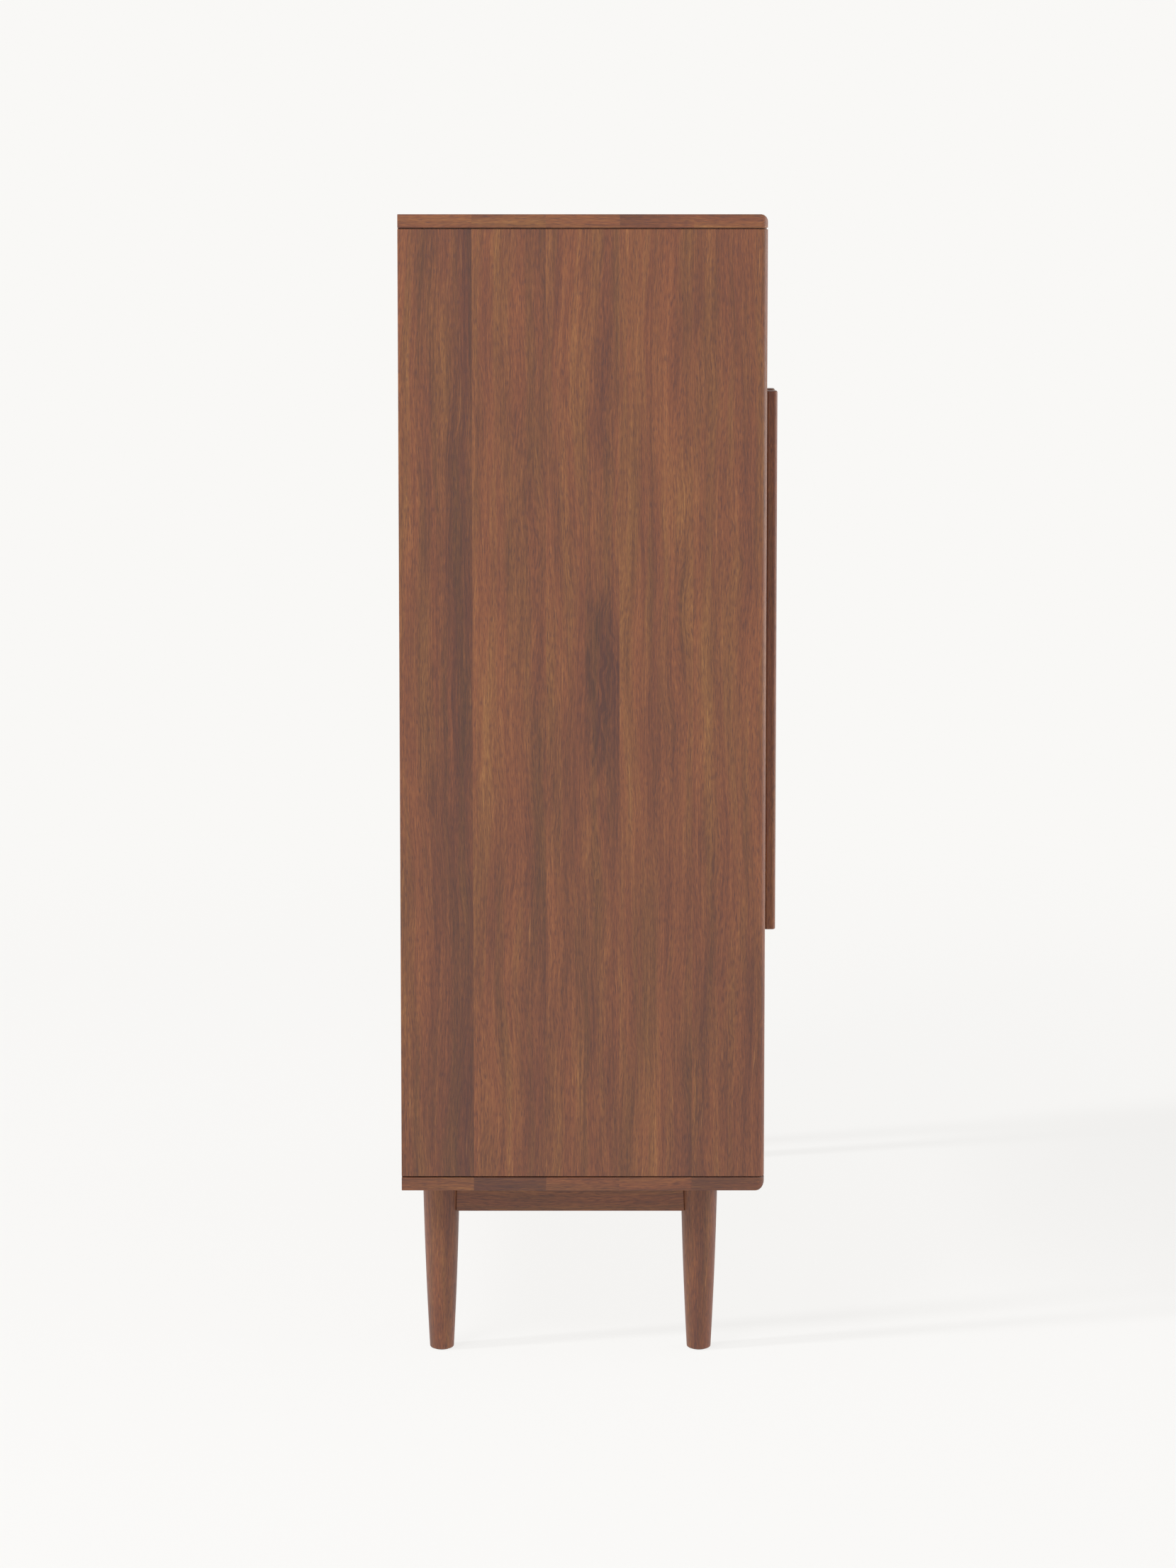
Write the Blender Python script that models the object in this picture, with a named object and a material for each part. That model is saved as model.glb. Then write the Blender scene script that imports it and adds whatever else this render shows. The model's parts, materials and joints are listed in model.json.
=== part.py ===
"""Two-door shoe cabinet on turned legs, modelled as the pieces that it is made of.

Run with: blender --background --python part.py

Units are metres and +Z is up. The doors face -Y, the left door is the one at -X, and the
origin is on the floor under the middle of the whole cabinet, handles included.
"""

import math
from collections import namedtuple

import bmesh
import bpy
from mathutils import Matrix, Vector

# Overall sizes
WIDTH = 0.900
CARCASS_DEPTH = 0.385
HEIGHT = 1.220
LEG_HEIGHT = 0.1875

# Boards
TOP_THICKNESS = 0.014
BOTTOM_THICKNESS = 0.014
SIDE_THICKNESS = 0.018
DIVIDER_THICKNESS = 0.018
BACK_THICKNESS = 0.006
BACK_INSET = 0.0005
BACK_REBATE_WIDTH = 0.009
FRONT_EDGE_ROUND = 0.0080
BOTTOM_EDGE_ROUND = 0.010
SHADOW_GROOVE_HEIGHT = 0.0015
SHADOW_GROOVE_DEPTH = 0.003
SHADOW_GROOVE_FRONT_DEPTH = 0.0012

# Doors
DOOR_THICKNESS = 0.018
DOOR_GAP = 0.002
DOOR_EDGE_ROUND = 0.0015
DOOR_STOP_GAP = 0.004

# Handles
HANDLE_PROJECTION = 0.032
HANDLE_WIDTH = 0.024
HANDLE_LENGTH = 0.630
HANDLE_CENTRE_ABOVE_DOOR_MIDDLE = 0.0
HANDLE_FROM_DOOR_EDGE = 0.0175
HANDLE_LIP_THICKNESS = 0.013
HANDLE_GROOVE_DEPTH = 0.010
HANDLE_ROUND = 0.004

# Pivot hinges
PIVOT_FROM_DOOR_EDGE = 0.014
PIVOT_FROM_DOOR_FACE = 0.007
LEAF_LENGTH = 0.045
LEAF_WIDTH = 0.009
LEAF_THICKNESS = 0.0025
LEAF_SPACE = 0.0008
PIN_RADIUS = 0.002
PIN_CLEARANCE = 0.00006
BOSS_RADIUS = 0.0038

# Magnetic catches
CATCH_LENGTH = 0.040
CATCH_DEPTH = 0.012
CATCH_HEIGHT = 0.013
CATCH_FLANGE_LENGTH = 0.056
CATCH_FLANGE_THICKNESS = 0.002
CATCH_FROM_DIVIDER = 0.012
STRIKE_LENGTH = 0.034
STRIKE_HEIGHT = 0.014
STRIKE_THICKNESS = 0.0012
STRIKE_CORNER_ROUND = 0.0028

# Shelves
SHELVES_PER_BAY = 4
SHELF_THICKNESS = 0.015
SHELF_SIDE_GAP = 0.0005
SHELF_BACK_GAP = 0.001
SHELF_FRONT_SETBACK = 0.012
SHELF_GROOVE_HEIGHT = 0.0034
SHELF_GROOVE_DEPTH = 0.0065
SHELF_GROOVE_STOP = 0.014

# Bent wire shelf supports
WIRE_RADIUS = 0.00125
WIRE_STANDOFF = 0.0036
WIRE_BEND_RADIUS = 0.003
WIRE_DEPTH_IN_BOARD = 0.0075
WIRE_HOLE_DEPTH = 0.008
WIRE_FROM_SHELF_FRONT = 0.020
WIRE_FROM_SHELF_BACK = 0.022

# Leg frame
LEG_TOP_DIAMETER = 0.0395
LEG_FOOT_DIAMETER = 0.0256
LEG_SWELL = 0.0016
LEG_FOOT_ROUND = 0.0020
LEG_FROM_SIDE = 0.055
LEG_FROM_FRONT = 0.0675
LEG_FROM_BACK = 0.040
RAIL_HEIGHT = 0.034
RAIL_THICKNESS = 0.022
TENON_THICKNESS = 0.010
TENON_HEIGHT = 0.022
TENON_FROM_LEG_AXIS = 0.0078
TENON_ROOT = 0.030
GLIDE_RADIUS = 0.0095
GLIDE_THICKNESS = 0.003
GLIDE_PROUD = 0.001

# Lengths below this count as nothing.
TINY = 1e-6
# Edges that turn by more than this stay sharp on a piece that is shaded smooth.
SHARP_ANGLE_DEG = 35
# Every glued or resting joint keeps this gap, so that no two pieces share a face.
FIT_GAP = 0.0003
# A cutter runs this far past the face that it opens.
OVERCUT = 0.002

# Sides on round shapes
ROUND_SEGMENTS = 4
SMALL_ROUND_SEGMENTS = 2
LEG_SIDES = 28
PIN_SIDES = 24
GLIDE_SIDES = 24
HOLE_SIDES = 10
WIRE_BEND_STEPS = 3
WIRE_BEVEL_RESOLUTION = 2
LEG_TAPER_STEPS = 6

# Places that follow from the sizes
BACK_Y = (CARCASS_DEPTH + HANDLE_PROJECTION) / 2
FRONT_Y = BACK_Y - CARCASS_DEPTH
SIDE_X = WIDTH / 2
INNER_X = SIDE_X - SIDE_THICKNESS
FLOOR_Z = LEG_HEIGHT + BOTTOM_THICKNESS
CEILING_Z = HEIGHT - TOP_THICKNESS
INNER_HEIGHT = CEILING_Z - FLOOR_Z
DOOR_BACK_Y = FRONT_Y + DOOR_THICKNESS
DIVIDER_FRONT_Y = DOOR_BACK_Y + DOOR_STOP_GAP
BACK_FACE_Y = BACK_Y - BACK_INSET - BACK_THICKNESS
SHELF_FRONT_Y = DOOR_BACK_Y + SHELF_FRONT_SETBACK
SHELF_BACK_Y = BACK_FACE_Y - SHELF_BACK_GAP
WIRE_FRONT_Y = SHELF_FRONT_Y + WIRE_FROM_SHELF_FRONT
WIRE_BACK_Y = SHELF_BACK_Y - WIRE_FROM_SHELF_BACK
DOOR_BOTTOM_Z = FLOOR_Z + DOOR_GAP
DOOR_TOP_Z = CEILING_Z - DOOR_GAP
DOOR_WIDTH = INNER_X - 1.5 * DOOR_GAP
DOOR_EDGE_X = INNER_X - DOOR_GAP
PIVOT_X = DOOR_EDGE_X - PIVOT_FROM_DOOR_EDGE
PIVOT_Y = FRONT_Y + PIVOT_FROM_DOOR_FACE
LEG_X = SIDE_X - LEG_FROM_SIDE
LEG_FRONT_Y = FRONT_Y + LEG_FROM_FRONT
LEG_BACK_Y = BACK_Y - LEG_FROM_BACK
LEG_TOP_Z = LEG_HEIGHT - FIT_GAP
RAIL_MIDDLE_Z = LEG_TOP_Z - RAIL_HEIGHT / 2

# How far a hinge leaf stands out of its board into the gap round the door
LEAF_PROUD = (DOOR_GAP - LEAF_SPACE) / 2
WIRE_HOLE_RADIUS = WIRE_RADIUS + FIT_GAP

Finish = namedtuple("Finish", "colour roughness metallic")
WALNUT_PANEL = Finish((0.227, 0.100, 0.063), 0.42, 0.0)
WALNUT_SOLID = Finish((0.190, 0.082, 0.052), 0.40, 0.0)
WALNUT_DARK = Finish((0.140, 0.070, 0.050), 0.40, 0.0)
BACK_BOARD = Finish((0.180, 0.085, 0.055), 0.60, 0.0)
STEEL = Finish((0.620, 0.610, 0.590), 0.28, 1.0)
CATCH_PLASTIC = Finish((0.060, 0.035, 0.025), 0.50, 0.0)
GLIDE_PLASTIC = Finish((0.035, 0.030, 0.028), 0.60, 0.0)


def clear_scene():
    """Removes what the startup file holds."""
    for leftover in list(bpy.data.objects):
        bpy.data.objects.remove(leftover, do_unlink=True)


def make_material(name, finish):
    """Plain surface with the finish's colour, roughness and metallic value."""
    material = bpy.data.materials.new(name)
    material.use_nodes = True
    shader = material.node_tree.nodes["Principled BSDF"]
    shader.inputs["Base Color"].default_value = (*finish.colour, 1.0)
    shader.inputs["Roughness"].default_value = finish.roughness
    shader.inputs["Metallic"].default_value = finish.metallic
    return material


def link_object(name, data, place, parent):
    """Adds the data to the scene as an object whose local origin is at a place in the world."""
    piece = bpy.data.objects.new(name, data)
    bpy.context.scene.collection.objects.link(piece)
    piece.location = place
    if parent is not None:
        piece.parent = parent
        piece.location = Vector(place) - parent.location
    return piece


def add_piece(name, shape, place, finish, parent=None, smooth=False):
    """Turns a bmesh, built round its own origin, into a named piece at a place."""
    mesh = bpy.data.meshes.new(name)
    shape.to_mesh(mesh)
    shape.free()
    if smooth:
        mesh.shade_smooth()
        mesh.set_sharp_from_angle(angle=math.radians(SHARP_ANGLE_DEG))
    mesh.materials.append(make_material(name + "_finish", finish))
    return link_object(name, mesh, place, parent)


def add_helper(name, shape, place, parent=None):
    """Turns a bmesh into a cutter or a joined-on shape that isn't a piece itself."""
    mesh = bpy.data.meshes.new(name)
    shape.to_mesh(mesh)
    shape.free()
    helper = link_object(name, mesh, place, parent)
    helper.hide_render = True
    helper.display_type = "WIRE"
    return helper


def combine(piece, helper, operation):
    """Cuts, joins or intersects a piece with a helper."""
    modifier = piece.modifiers.new(helper.name, "BOOLEAN")
    modifier.operation = operation
    modifier.solver = "EXACT"
    modifier.object = helper


def box_shape(size_x, size_y, size_z):
    """Box centred on the local origin."""
    shape = bmesh.new()
    bmesh.ops.create_cube(shape, size=1.0, matrix=Matrix.Diagonal((size_x, size_y, size_z, 1.0)))
    return shape


def cylinder_shape(radius, length, sides):
    """Upright cylinder centred on the local origin."""
    shape = bmesh.new()
    bmesh.ops.create_cone(
        shape,
        cap_ends=True,
        segments=sides,
        radius1=radius,
        radius2=radius,
        depth=length,
    )
    return shape


def round_box_edges(shape, radius, chosen_sides, segments=ROUND_SEGMENTS):
    """Rounds the edges of a centred box that lie on a pair of its sides.

    chosen_sides lists pairs such as (("x", -1), ("y", -1)): the edge where side -X meets side -Y.
    """
    shape.edges.ensure_lookup_table()
    edges = []
    for edge in shape.edges:
        middle = (edge.verts[0].co + edge.verts[1].co) / 2
        for pair in chosen_sides:
            on_sides = all(getattr(middle, axis) * sign > TINY for axis, sign in pair)
            parallel = all(
                abs(getattr(vertex.co, axis) - getattr(middle, axis)) < TINY
                for vertex in edge.verts
                for axis, _ in pair
            )
            if on_sides and parallel:
                edges.append(edge)
                break
    bmesh.ops.bevel(
        shape,
        geom=edges,
        offset=radius,
        offset_type="OFFSET",
        segments=segments,
        profile=0.5,
        affect="EDGES",
        clamp_overlap=True,
    )


def extruded_shape(outline, length, axis):
    """Prism of a closed outline, centred along its axis.

    An outline for axis Z holds (x, y) points, and one for axis X holds (y, z) points.
    """
    shape = bmesh.new()
    if axis == "Z":
        corners = [(a, b, -length / 2) for a, b in outline]
        step = Vector((0, 0, length))
    else:
        corners = [(-length / 2, a, b) for a, b in outline]
        step = Vector((length, 0, 0))
    face = shape.faces.new([shape.verts.new(corner) for corner in corners])
    grown = bmesh.ops.extrude_face_region(shape, geom=[face])
    moved = [item for item in grown["geom"] if isinstance(item, bmesh.types.BMVert)]
    bmesh.ops.translate(shape, vec=step, verts=moved)
    bmesh.ops.recalc_face_normals(shape, faces=shape.faces)
    return shape


def arc_points(centre, radius, start_deg, end_deg, steps):
    """Points along an arc, both ends included."""
    points = []
    for step in range(steps + 1):
        angle = math.radians(start_deg + (end_deg - start_deg) * step / steps)
        points.append((centre[0] + radius * math.cos(angle), centre[1] + radius * math.sin(angle)))
    return points


def centre_of(low, high):
    """Middle and size of the box between two corners."""
    low, high = Vector(low), Vector(high)
    return (low + high) / 2, high - low


def box_between(name, low, high, finish, parent=None):
    """Plain box piece between two corners."""
    place, size = centre_of(low, high)
    return add_piece(name, box_shape(*size), place, finish, parent)


def helper_between(name, low, high, parent=None):
    """Plain box helper between two corners."""
    place, size = centre_of(low, high)
    return add_helper(name, box_shape(*size), place, parent)


# ---------------------------------------------------------------- carcass


def board_with_round_front(name, low, high, front_side, edge_round):
    """Top or bottom panel: upright front corners rounded in plan, and one long front edge rounded.

    front_side is +1 when the rounded long edge is the upper one and -1 when it is the lower one.
    """
    place, size = centre_of(low, high)
    board = box_shape(*size)
    upright = [(("x", -1), ("y", -1)), (("x", 1), ("y", -1))]
    round_box_edges(board, FRONT_EDGE_ROUND, upright)
    piece = add_piece(name, board, place, WALNUT_PANEL)

    half_depth, half_height = size.y / 2, size.z / 2
    arc = arc_points(
        (-half_depth + edge_round, half_height - edge_round), edge_round, 180, 90, ROUND_SEGMENTS
    )
    profile = arc + [
        (half_depth + OVERCUT, half_height),
        (half_depth + OVERCUT, -half_height - OVERCUT),
        (-half_depth, -half_height - OVERCUT),
    ]
    profile = [(y, z * front_side) for y, z in profile]
    side_view = extruded_shape(profile, size.x + 2 * OVERCUT, "X")
    combine(piece, add_helper(name + "_side_view", side_view, place), "INTERSECT")
    return piece


def shelf_middles():
    """Heights of the middle of each shelf, for compartments of equal height."""
    clear = (INNER_HEIGHT - SHELVES_PER_BAY * SHELF_THICKNESS) / (SHELVES_PER_BAY + 1)
    first = FLOOR_Z + clear + SHELF_THICKNESS / 2
    return [first + number * (clear + SHELF_THICKNESS) for number in range(SHELVES_PER_BAY)]


def support_holes(name, board_face_x, into):
    """Cutter for the holes of the wire supports in one face of an upright board.

    into is -1 or +1: the direction along X in which the holes go.
    """
    length = WIRE_HOLE_DEPTH + OVERCUT
    middle_x = board_face_x + into * (WIRE_HOLE_DEPTH - OVERCUT) / 2
    holes = bmesh.new()
    turned = Matrix.Rotation(math.pi / 2, 4, "Y")
    for middle_z in shelf_middles():
        for hole_y in (WIRE_FRONT_Y, WIRE_BACK_Y):
            bmesh.ops.create_cone(
                holes,
                cap_ends=True,
                segments=HOLE_SIDES,
                radius1=WIRE_HOLE_RADIUS,
                radius2=WIRE_HOLE_RADIUS,
                depth=length,
                matrix=Matrix.Translation((0, hole_y, middle_z)) @ turned,
            )
    return add_helper(name, holes, (middle_x, 0, 0))


def build_side_panel(name, hand):
    """Side panel with shadow grooves at both ends, a rebate for the back and support holes.

    hand is -1 for the left side and +1 for the right side. The panel's face stops short of the top
    and bottom panels; a tongue, set back behind that face, reaches on to them.
    """
    outer, inner = hand * SIDE_X, hand * INNER_X
    low_z, high_z = FLOOR_Z + FIT_GAP, CEILING_Z - FIT_GAP
    face_low_z = FLOOR_Z + SHADOW_GROOVE_HEIGHT
    face_high_z = CEILING_Z - SHADOW_GROOVE_HEIGHT
    place, size = centre_of(
        (min(outer, inner), FRONT_Y, face_low_z), (max(outer, inner), BACK_Y, face_high_z)
    )
    board = box_shape(*size)
    round_box_edges(board, FRONT_EDGE_ROUND, [(("x", hand), ("y", -1))])
    piece = add_piece(name, board, place, WALNUT_PANEL)

    tongue_outer = outer - hand * SHADOW_GROOVE_DEPTH
    tongue_place, tongue_size = centre_of(
        (min(tongue_outer, inner), FRONT_Y + SHADOW_GROOVE_FRONT_DEPTH, low_z),
        (max(tongue_outer, inner), BACK_Y, high_z),
    )
    tongue = box_shape(*tongue_size)
    round_box_edges(tongue, FRONT_EDGE_ROUND - SHADOW_GROOVE_DEPTH, [(("x", hand), ("y", -1))])
    combine(piece, add_helper(name + "_tongue", tongue, tongue_place), "UNION")

    rebate_outer = inner + hand * BACK_REBATE_WIDTH
    rebate_inner = inner - hand * OVERCUT
    rebate = helper_between(
        name + "_back_rebate",
        (min(rebate_outer, rebate_inner), BACK_FACE_Y - FIT_GAP, low_z - OVERCUT),
        (max(rebate_outer, rebate_inner), BACK_Y + OVERCUT, high_z + OVERCUT),
    )
    combine(piece, rebate, "DIFFERENCE")
    combine(piece, support_holes(name + "_support_holes", inner, hand), "DIFFERENCE")
    return piece


def build_carcass():
    """Top, bottom, sides, divider and back. Returns the top and the bottom panel."""
    top = board_with_round_front(
        "top_panel",
        (-SIDE_X, FRONT_Y, CEILING_Z),
        (SIDE_X, BACK_Y, HEIGHT),
        1,
        FRONT_EDGE_ROUND,
    )
    bottom = board_with_round_front(
        "bottom_panel",
        (-SIDE_X, FRONT_Y, LEG_HEIGHT),
        (SIDE_X, BACK_Y, FLOOR_Z),
        -1,
        BOTTOM_EDGE_ROUND,
    )
    build_side_panel("side_panel_left", -1)
    build_side_panel("side_panel_right", 1)

    half = DIVIDER_THICKNESS / 2
    divider = box_between(
        "centre_divider",
        (-half, DIVIDER_FRONT_Y, FLOOR_Z + FIT_GAP),
        (half, BACK_FACE_Y - FIT_GAP, CEILING_Z - FIT_GAP),
        WALNUT_PANEL,
    )
    combine(divider, support_holes("divider_left_holes", -half, 1), "DIFFERENCE")
    combine(divider, support_holes("divider_right_holes", half, -1), "DIFFERENCE")

    back_half = INNER_X + BACK_REBATE_WIDTH - FIT_GAP
    box_between(
        "back_panel",
        (-back_half, BACK_FACE_Y, FLOOR_Z + FIT_GAP),
        (back_half, BACK_FACE_Y + BACK_THICKNESS, CEILING_Z - FIT_GAP),
        BACK_BOARD,
    )
    return top, bottom


# ---------------------------------------------------------------- shelves


def bay_faces(hand):
    """X of the left and of the right board that a bay lies between; hand is -1 or +1."""
    edges = sorted((hand * INNER_X, hand * DIVIDER_THICKNESS / 2))
    return edges[0], edges[1]


def build_shelf(name, hand, middle_z):
    """Shelf with a stopped groove in each end, open at the back, that slides over its wires."""
    left_face, right_face = bay_faces(hand)
    low = (left_face + SHELF_SIDE_GAP, SHELF_FRONT_Y, middle_z - SHELF_THICKNESS / 2)
    high = (right_face - SHELF_SIDE_GAP, SHELF_BACK_Y, middle_z + SHELF_THICKNESS / 2)
    piece = box_between(name, low, high, WALNUT_PANEL)
    for side, edge_x, inward in (("left", low[0], 1), ("right", high[0], -1)):
        mouth_x = edge_x - inward * OVERCUT
        floor_x = edge_x + inward * SHELF_GROOVE_DEPTH
        groove = helper_between(
            f"{name}_{side}_groove",
            (
                min(mouth_x, floor_x),
                SHELF_FRONT_Y + SHELF_GROOVE_STOP,
                middle_z - SHELF_GROOVE_HEIGHT / 2,
            ),
            (max(mouth_x, floor_x), SHELF_BACK_Y + OVERCUT, middle_z + SHELF_GROOVE_HEIGHT / 2),
        )
        combine(piece, groove, "DIFFERENCE")
    return piece


def build_wire_support(name, board_face_x, into_bay, middle_z):
    """Wire whose two bent ends plug into a board; the shelf's groove slides over the middle.

    into_bay is -1 or +1: the direction along X from the board's face into the bay.
    """
    run_x = board_face_x + into_bay * WIRE_STANDOFF
    end_x = board_face_x - into_bay * WIRE_DEPTH_IN_BOARD
    bend = min(WIRE_BEND_RADIUS, WIRE_STANDOFF - FIT_GAP)
    points = [(end_x, WIRE_FRONT_Y)]
    points += [
        (run_x - into_bay * (bend - x), y)
        for x, y in arc_points((0, WIRE_FRONT_Y + bend), bend, 270, 360, WIRE_BEND_STEPS)
    ]
    points += [
        (run_x - into_bay * (bend - x), y)
        for x, y in arc_points((0, WIRE_BACK_Y - bend), bend, 0, 90, WIRE_BEND_STEPS)
    ]
    points.append((end_x, WIRE_BACK_Y))

    place = Vector((board_face_x, (WIRE_FRONT_Y + WIRE_BACK_Y) / 2, middle_z))
    curve = bpy.data.curves.new(name, "CURVE")
    curve.dimensions = "3D"
    curve.bevel_depth = WIRE_RADIUS
    curve.bevel_resolution = WIRE_BEVEL_RESOLUTION
    curve.use_fill_caps = True
    spline = curve.splines.new("POLY")
    spline.points.add(len(points) - 1)
    for point, (x, y) in zip(spline.points, points):
        point.co = (x - place.x, y - place.y, 0, 1)
    curve.materials.append(make_material(name + "_finish", STEEL))
    return link_object(name, curve, place, None)


def build_shelves():
    """All shelves and their wire supports."""
    for bay, hand in (("left", -1), ("right", 1)):
        left_face, right_face = bay_faces(hand)
        for number, middle_z in enumerate(shelf_middles(), start=1):
            shelf = f"{bay}_shelf_{number}"
            build_shelf(shelf, hand, middle_z)
            build_wire_support(f"{shelf}_wire_left", left_face, 1, middle_z)
            build_wire_support(f"{shelf}_wire_right", right_face, -1, middle_z)


# ---------------------------------------------------------------- doors


def leaf_shape(grow=0.0, thickness=LEAF_THICKNESS):
    """Hinge leaf round its pin at the origin, pointing to +X, with a round end at the pin."""
    radius = LEAF_WIDTH / 2 + grow
    outline = arc_points((0, 0), radius, 90, 270, 2 * ROUND_SEGMENTS)
    outline += [(LEAF_LENGTH - radius + grow, -radius), (LEAF_LENGTH - radius + grow, radius)]
    return extruded_shape(outline, thickness, "Z")


def mirrored(shape, hand):
    """The same shape, pointing to -X when hand is +1."""
    if hand > 0:
        half_turn = Matrix.Rotation(math.pi, 3, "Z")
        bmesh.ops.rotate(shape, cent=(0, 0, 0), matrix=half_turn, verts=shape.verts)
    return shape


def build_hinge(side, end, hand, board, door, door_axis):
    """One pivot hinge: the leaf and pin let into the carcass, and the bored leaf let into the door.

    end is "top" or "bottom". The leaves lie in mortises in the board and in the door's end.
    """
    up = 1 if end == "top" else -1
    board_z = CEILING_Z if end == "top" else FLOOR_Z
    door_z = DOOR_TOP_Z if end == "top" else DOOR_BOTTOM_Z
    mortise_depth = LEAF_THICKNESS - LEAF_PROUD + FIT_GAP

    carcass_z = board_z + up * (LEAF_THICKNESS / 2 - LEAF_PROUD)
    carcass_leaf = add_piece(
        f"{side}_{end}_hinge_carcass_leaf",
        mirrored(leaf_shape(), hand),
        (hand * PIVOT_X, PIVOT_Y, carcass_z),
        STEEL,
    )
    carcass_face_z = board_z - up * LEAF_PROUD
    door_leaf_z = door_z - up * (LEAF_THICKNESS / 2 - LEAF_PROUD)
    door_leaf_back_z = door_leaf_z - up * LEAF_THICKNESS / 2
    boss_end_z = carcass_face_z - up * (LEAF_SPACE - FIT_GAP)
    pin_end_z = door_leaf_back_z + up * FIT_GAP
    studs = (("boss", BOSS_RADIUS, boss_end_z), ("pin", PIN_RADIUS, pin_end_z))
    for label, radius, end_z in studs:
        stud = add_helper(
            f"{side}_{end}_hinge_{label}",
            cylinder_shape(radius, abs(carcass_z - end_z), PIN_SIDES),
            (hand * PIVOT_X, PIVOT_Y, (carcass_z + end_z) / 2),
        )
        combine(carcass_leaf, stud, "UNION")

    door_leaf = add_piece(
        f"{side}_{end}_hinge_door_leaf",
        mirrored(leaf_shape(), hand),
        (hand * PIVOT_X, PIVOT_Y, door_leaf_z),
        STEEL,
        parent=door_axis,
    )
    bore = add_helper(
        f"{side}_{end}_hinge_bore",
        cylinder_shape(PIN_RADIUS + PIN_CLEARANCE, LEAF_THICKNESS + 2 * OVERCUT, PIN_SIDES),
        (hand * PIVOT_X, PIVOT_Y, door_leaf_z),
        parent=door_axis,
    )
    combine(door_leaf, bore, "DIFFERENCE")

    seats = ((board, board_z, up, None), (door, door_z, -up, door_axis))
    for target, face_z, inward, parent in seats:
        mortise = add_helper(
            f"{side}_{end}_{target.name}_mortise",
            mirrored(leaf_shape(FIT_GAP, mortise_depth + OVERCUT), hand),
            (hand * PIVOT_X, PIVOT_Y, face_z + inward * (mortise_depth - OVERCUT) / 2),
            parent=parent,
        )
        combine(target, mortise, "DIFFERENCE")


def build_handle(name, hand, door_axis):
    """Long wooden pull: a stem on the door and a lip that hides a finger groove, as an L in plan.

    The groove is on the side away from the cabinet's middle.
    """
    near_x = DOOR_GAP / 2 + HANDLE_FROM_DOOR_EDGE
    far_x = near_x + HANDLE_WIDTH
    stem_x = far_x - HANDLE_GROOVE_DEPTH
    front_y = FRONT_Y - HANDLE_PROJECTION
    back_y = FRONT_Y - FIT_GAP
    lip_y = front_y + HANDLE_LIP_THICKNESS
    edge = min(HANDLE_ROUND, HANDLE_LIP_THICKNESS / 2 - FIT_GAP)
    outline = [(near_x, back_y)]
    outline += arc_points((near_x + edge, front_y + edge), edge, 180, 270, ROUND_SEGMENTS)
    outline += arc_points((far_x - edge, front_y + edge), edge, 270, 360, ROUND_SEGMENTS)
    outline += [(far_x, lip_y), (stem_x, lip_y), (stem_x, back_y)]

    middle_z = (DOOR_BOTTOM_Z + DOOR_TOP_Z) / 2 + HANDLE_CENTRE_ABOVE_DOOR_MIDDLE
    place = Vector((hand * (near_x + far_x) / 2, (front_y + back_y) / 2, middle_z))
    local = [(hand * x - place.x, y - place.y) for x, y in outline]
    return add_piece(
        name, extruded_shape(local, HANDLE_LENGTH, "Z"), place, WALNUT_DARK, door_axis, smooth=True
    )


def build_catch(side, hand, door_axis):
    """Magnetic catch under the top panel beside the divider, and its strike plate on the door."""
    near_x = DIVIDER_THICKNESS / 2 + CATCH_FROM_DIVIDER
    middle_x = hand * (near_x + CATCH_LENGTH / 2)
    strike_front_y = DOOR_BACK_Y + FIT_GAP
    strike_back_y = strike_front_y + STRIKE_THICKNESS
    catch_front_y = strike_back_y + FIT_GAP
    catch_top_z = CEILING_Z - FIT_GAP
    catch_bottom_z = catch_top_z - CATCH_HEIGHT
    catch = box_between(
        f"{side}_magnetic_catch",
        (middle_x - CATCH_LENGTH / 2, catch_front_y, catch_bottom_z),
        (middle_x + CATCH_LENGTH / 2, catch_front_y + CATCH_DEPTH, catch_top_z),
        CATCH_PLASTIC,
    )
    flange = helper_between(
        f"{side}_catch_flange",
        (
            middle_x - CATCH_FLANGE_LENGTH / 2,
            catch_front_y + FIT_GAP,
            catch_top_z - CATCH_FLANGE_THICKNESS,
        ),
        (middle_x + CATCH_FLANGE_LENGTH / 2, catch_front_y + CATCH_DEPTH - FIT_GAP, catch_top_z),
    )
    combine(catch, flange, "UNION")

    strike_middle_z = (catch_bottom_z + DOOR_TOP_Z) / 2
    strike_low = (middle_x - STRIKE_LENGTH / 2, strike_front_y, strike_middle_z - STRIKE_HEIGHT / 2)
    strike_high = (middle_x + STRIKE_LENGTH / 2, strike_back_y, strike_middle_z + STRIKE_HEIGHT / 2)
    place, size = centre_of(strike_low, strike_high)
    plate = box_shape(*size)
    corners = [(("x", x), ("z", z)) for x in (-1, 1) for z in (-1, 1)]
    round_box_edges(plate, STRIKE_CORNER_ROUND, corners, SMALL_ROUND_SEGMENTS)
    add_piece(f"{side}_strike_plate", plate, place, STEEL, door_axis)


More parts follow.
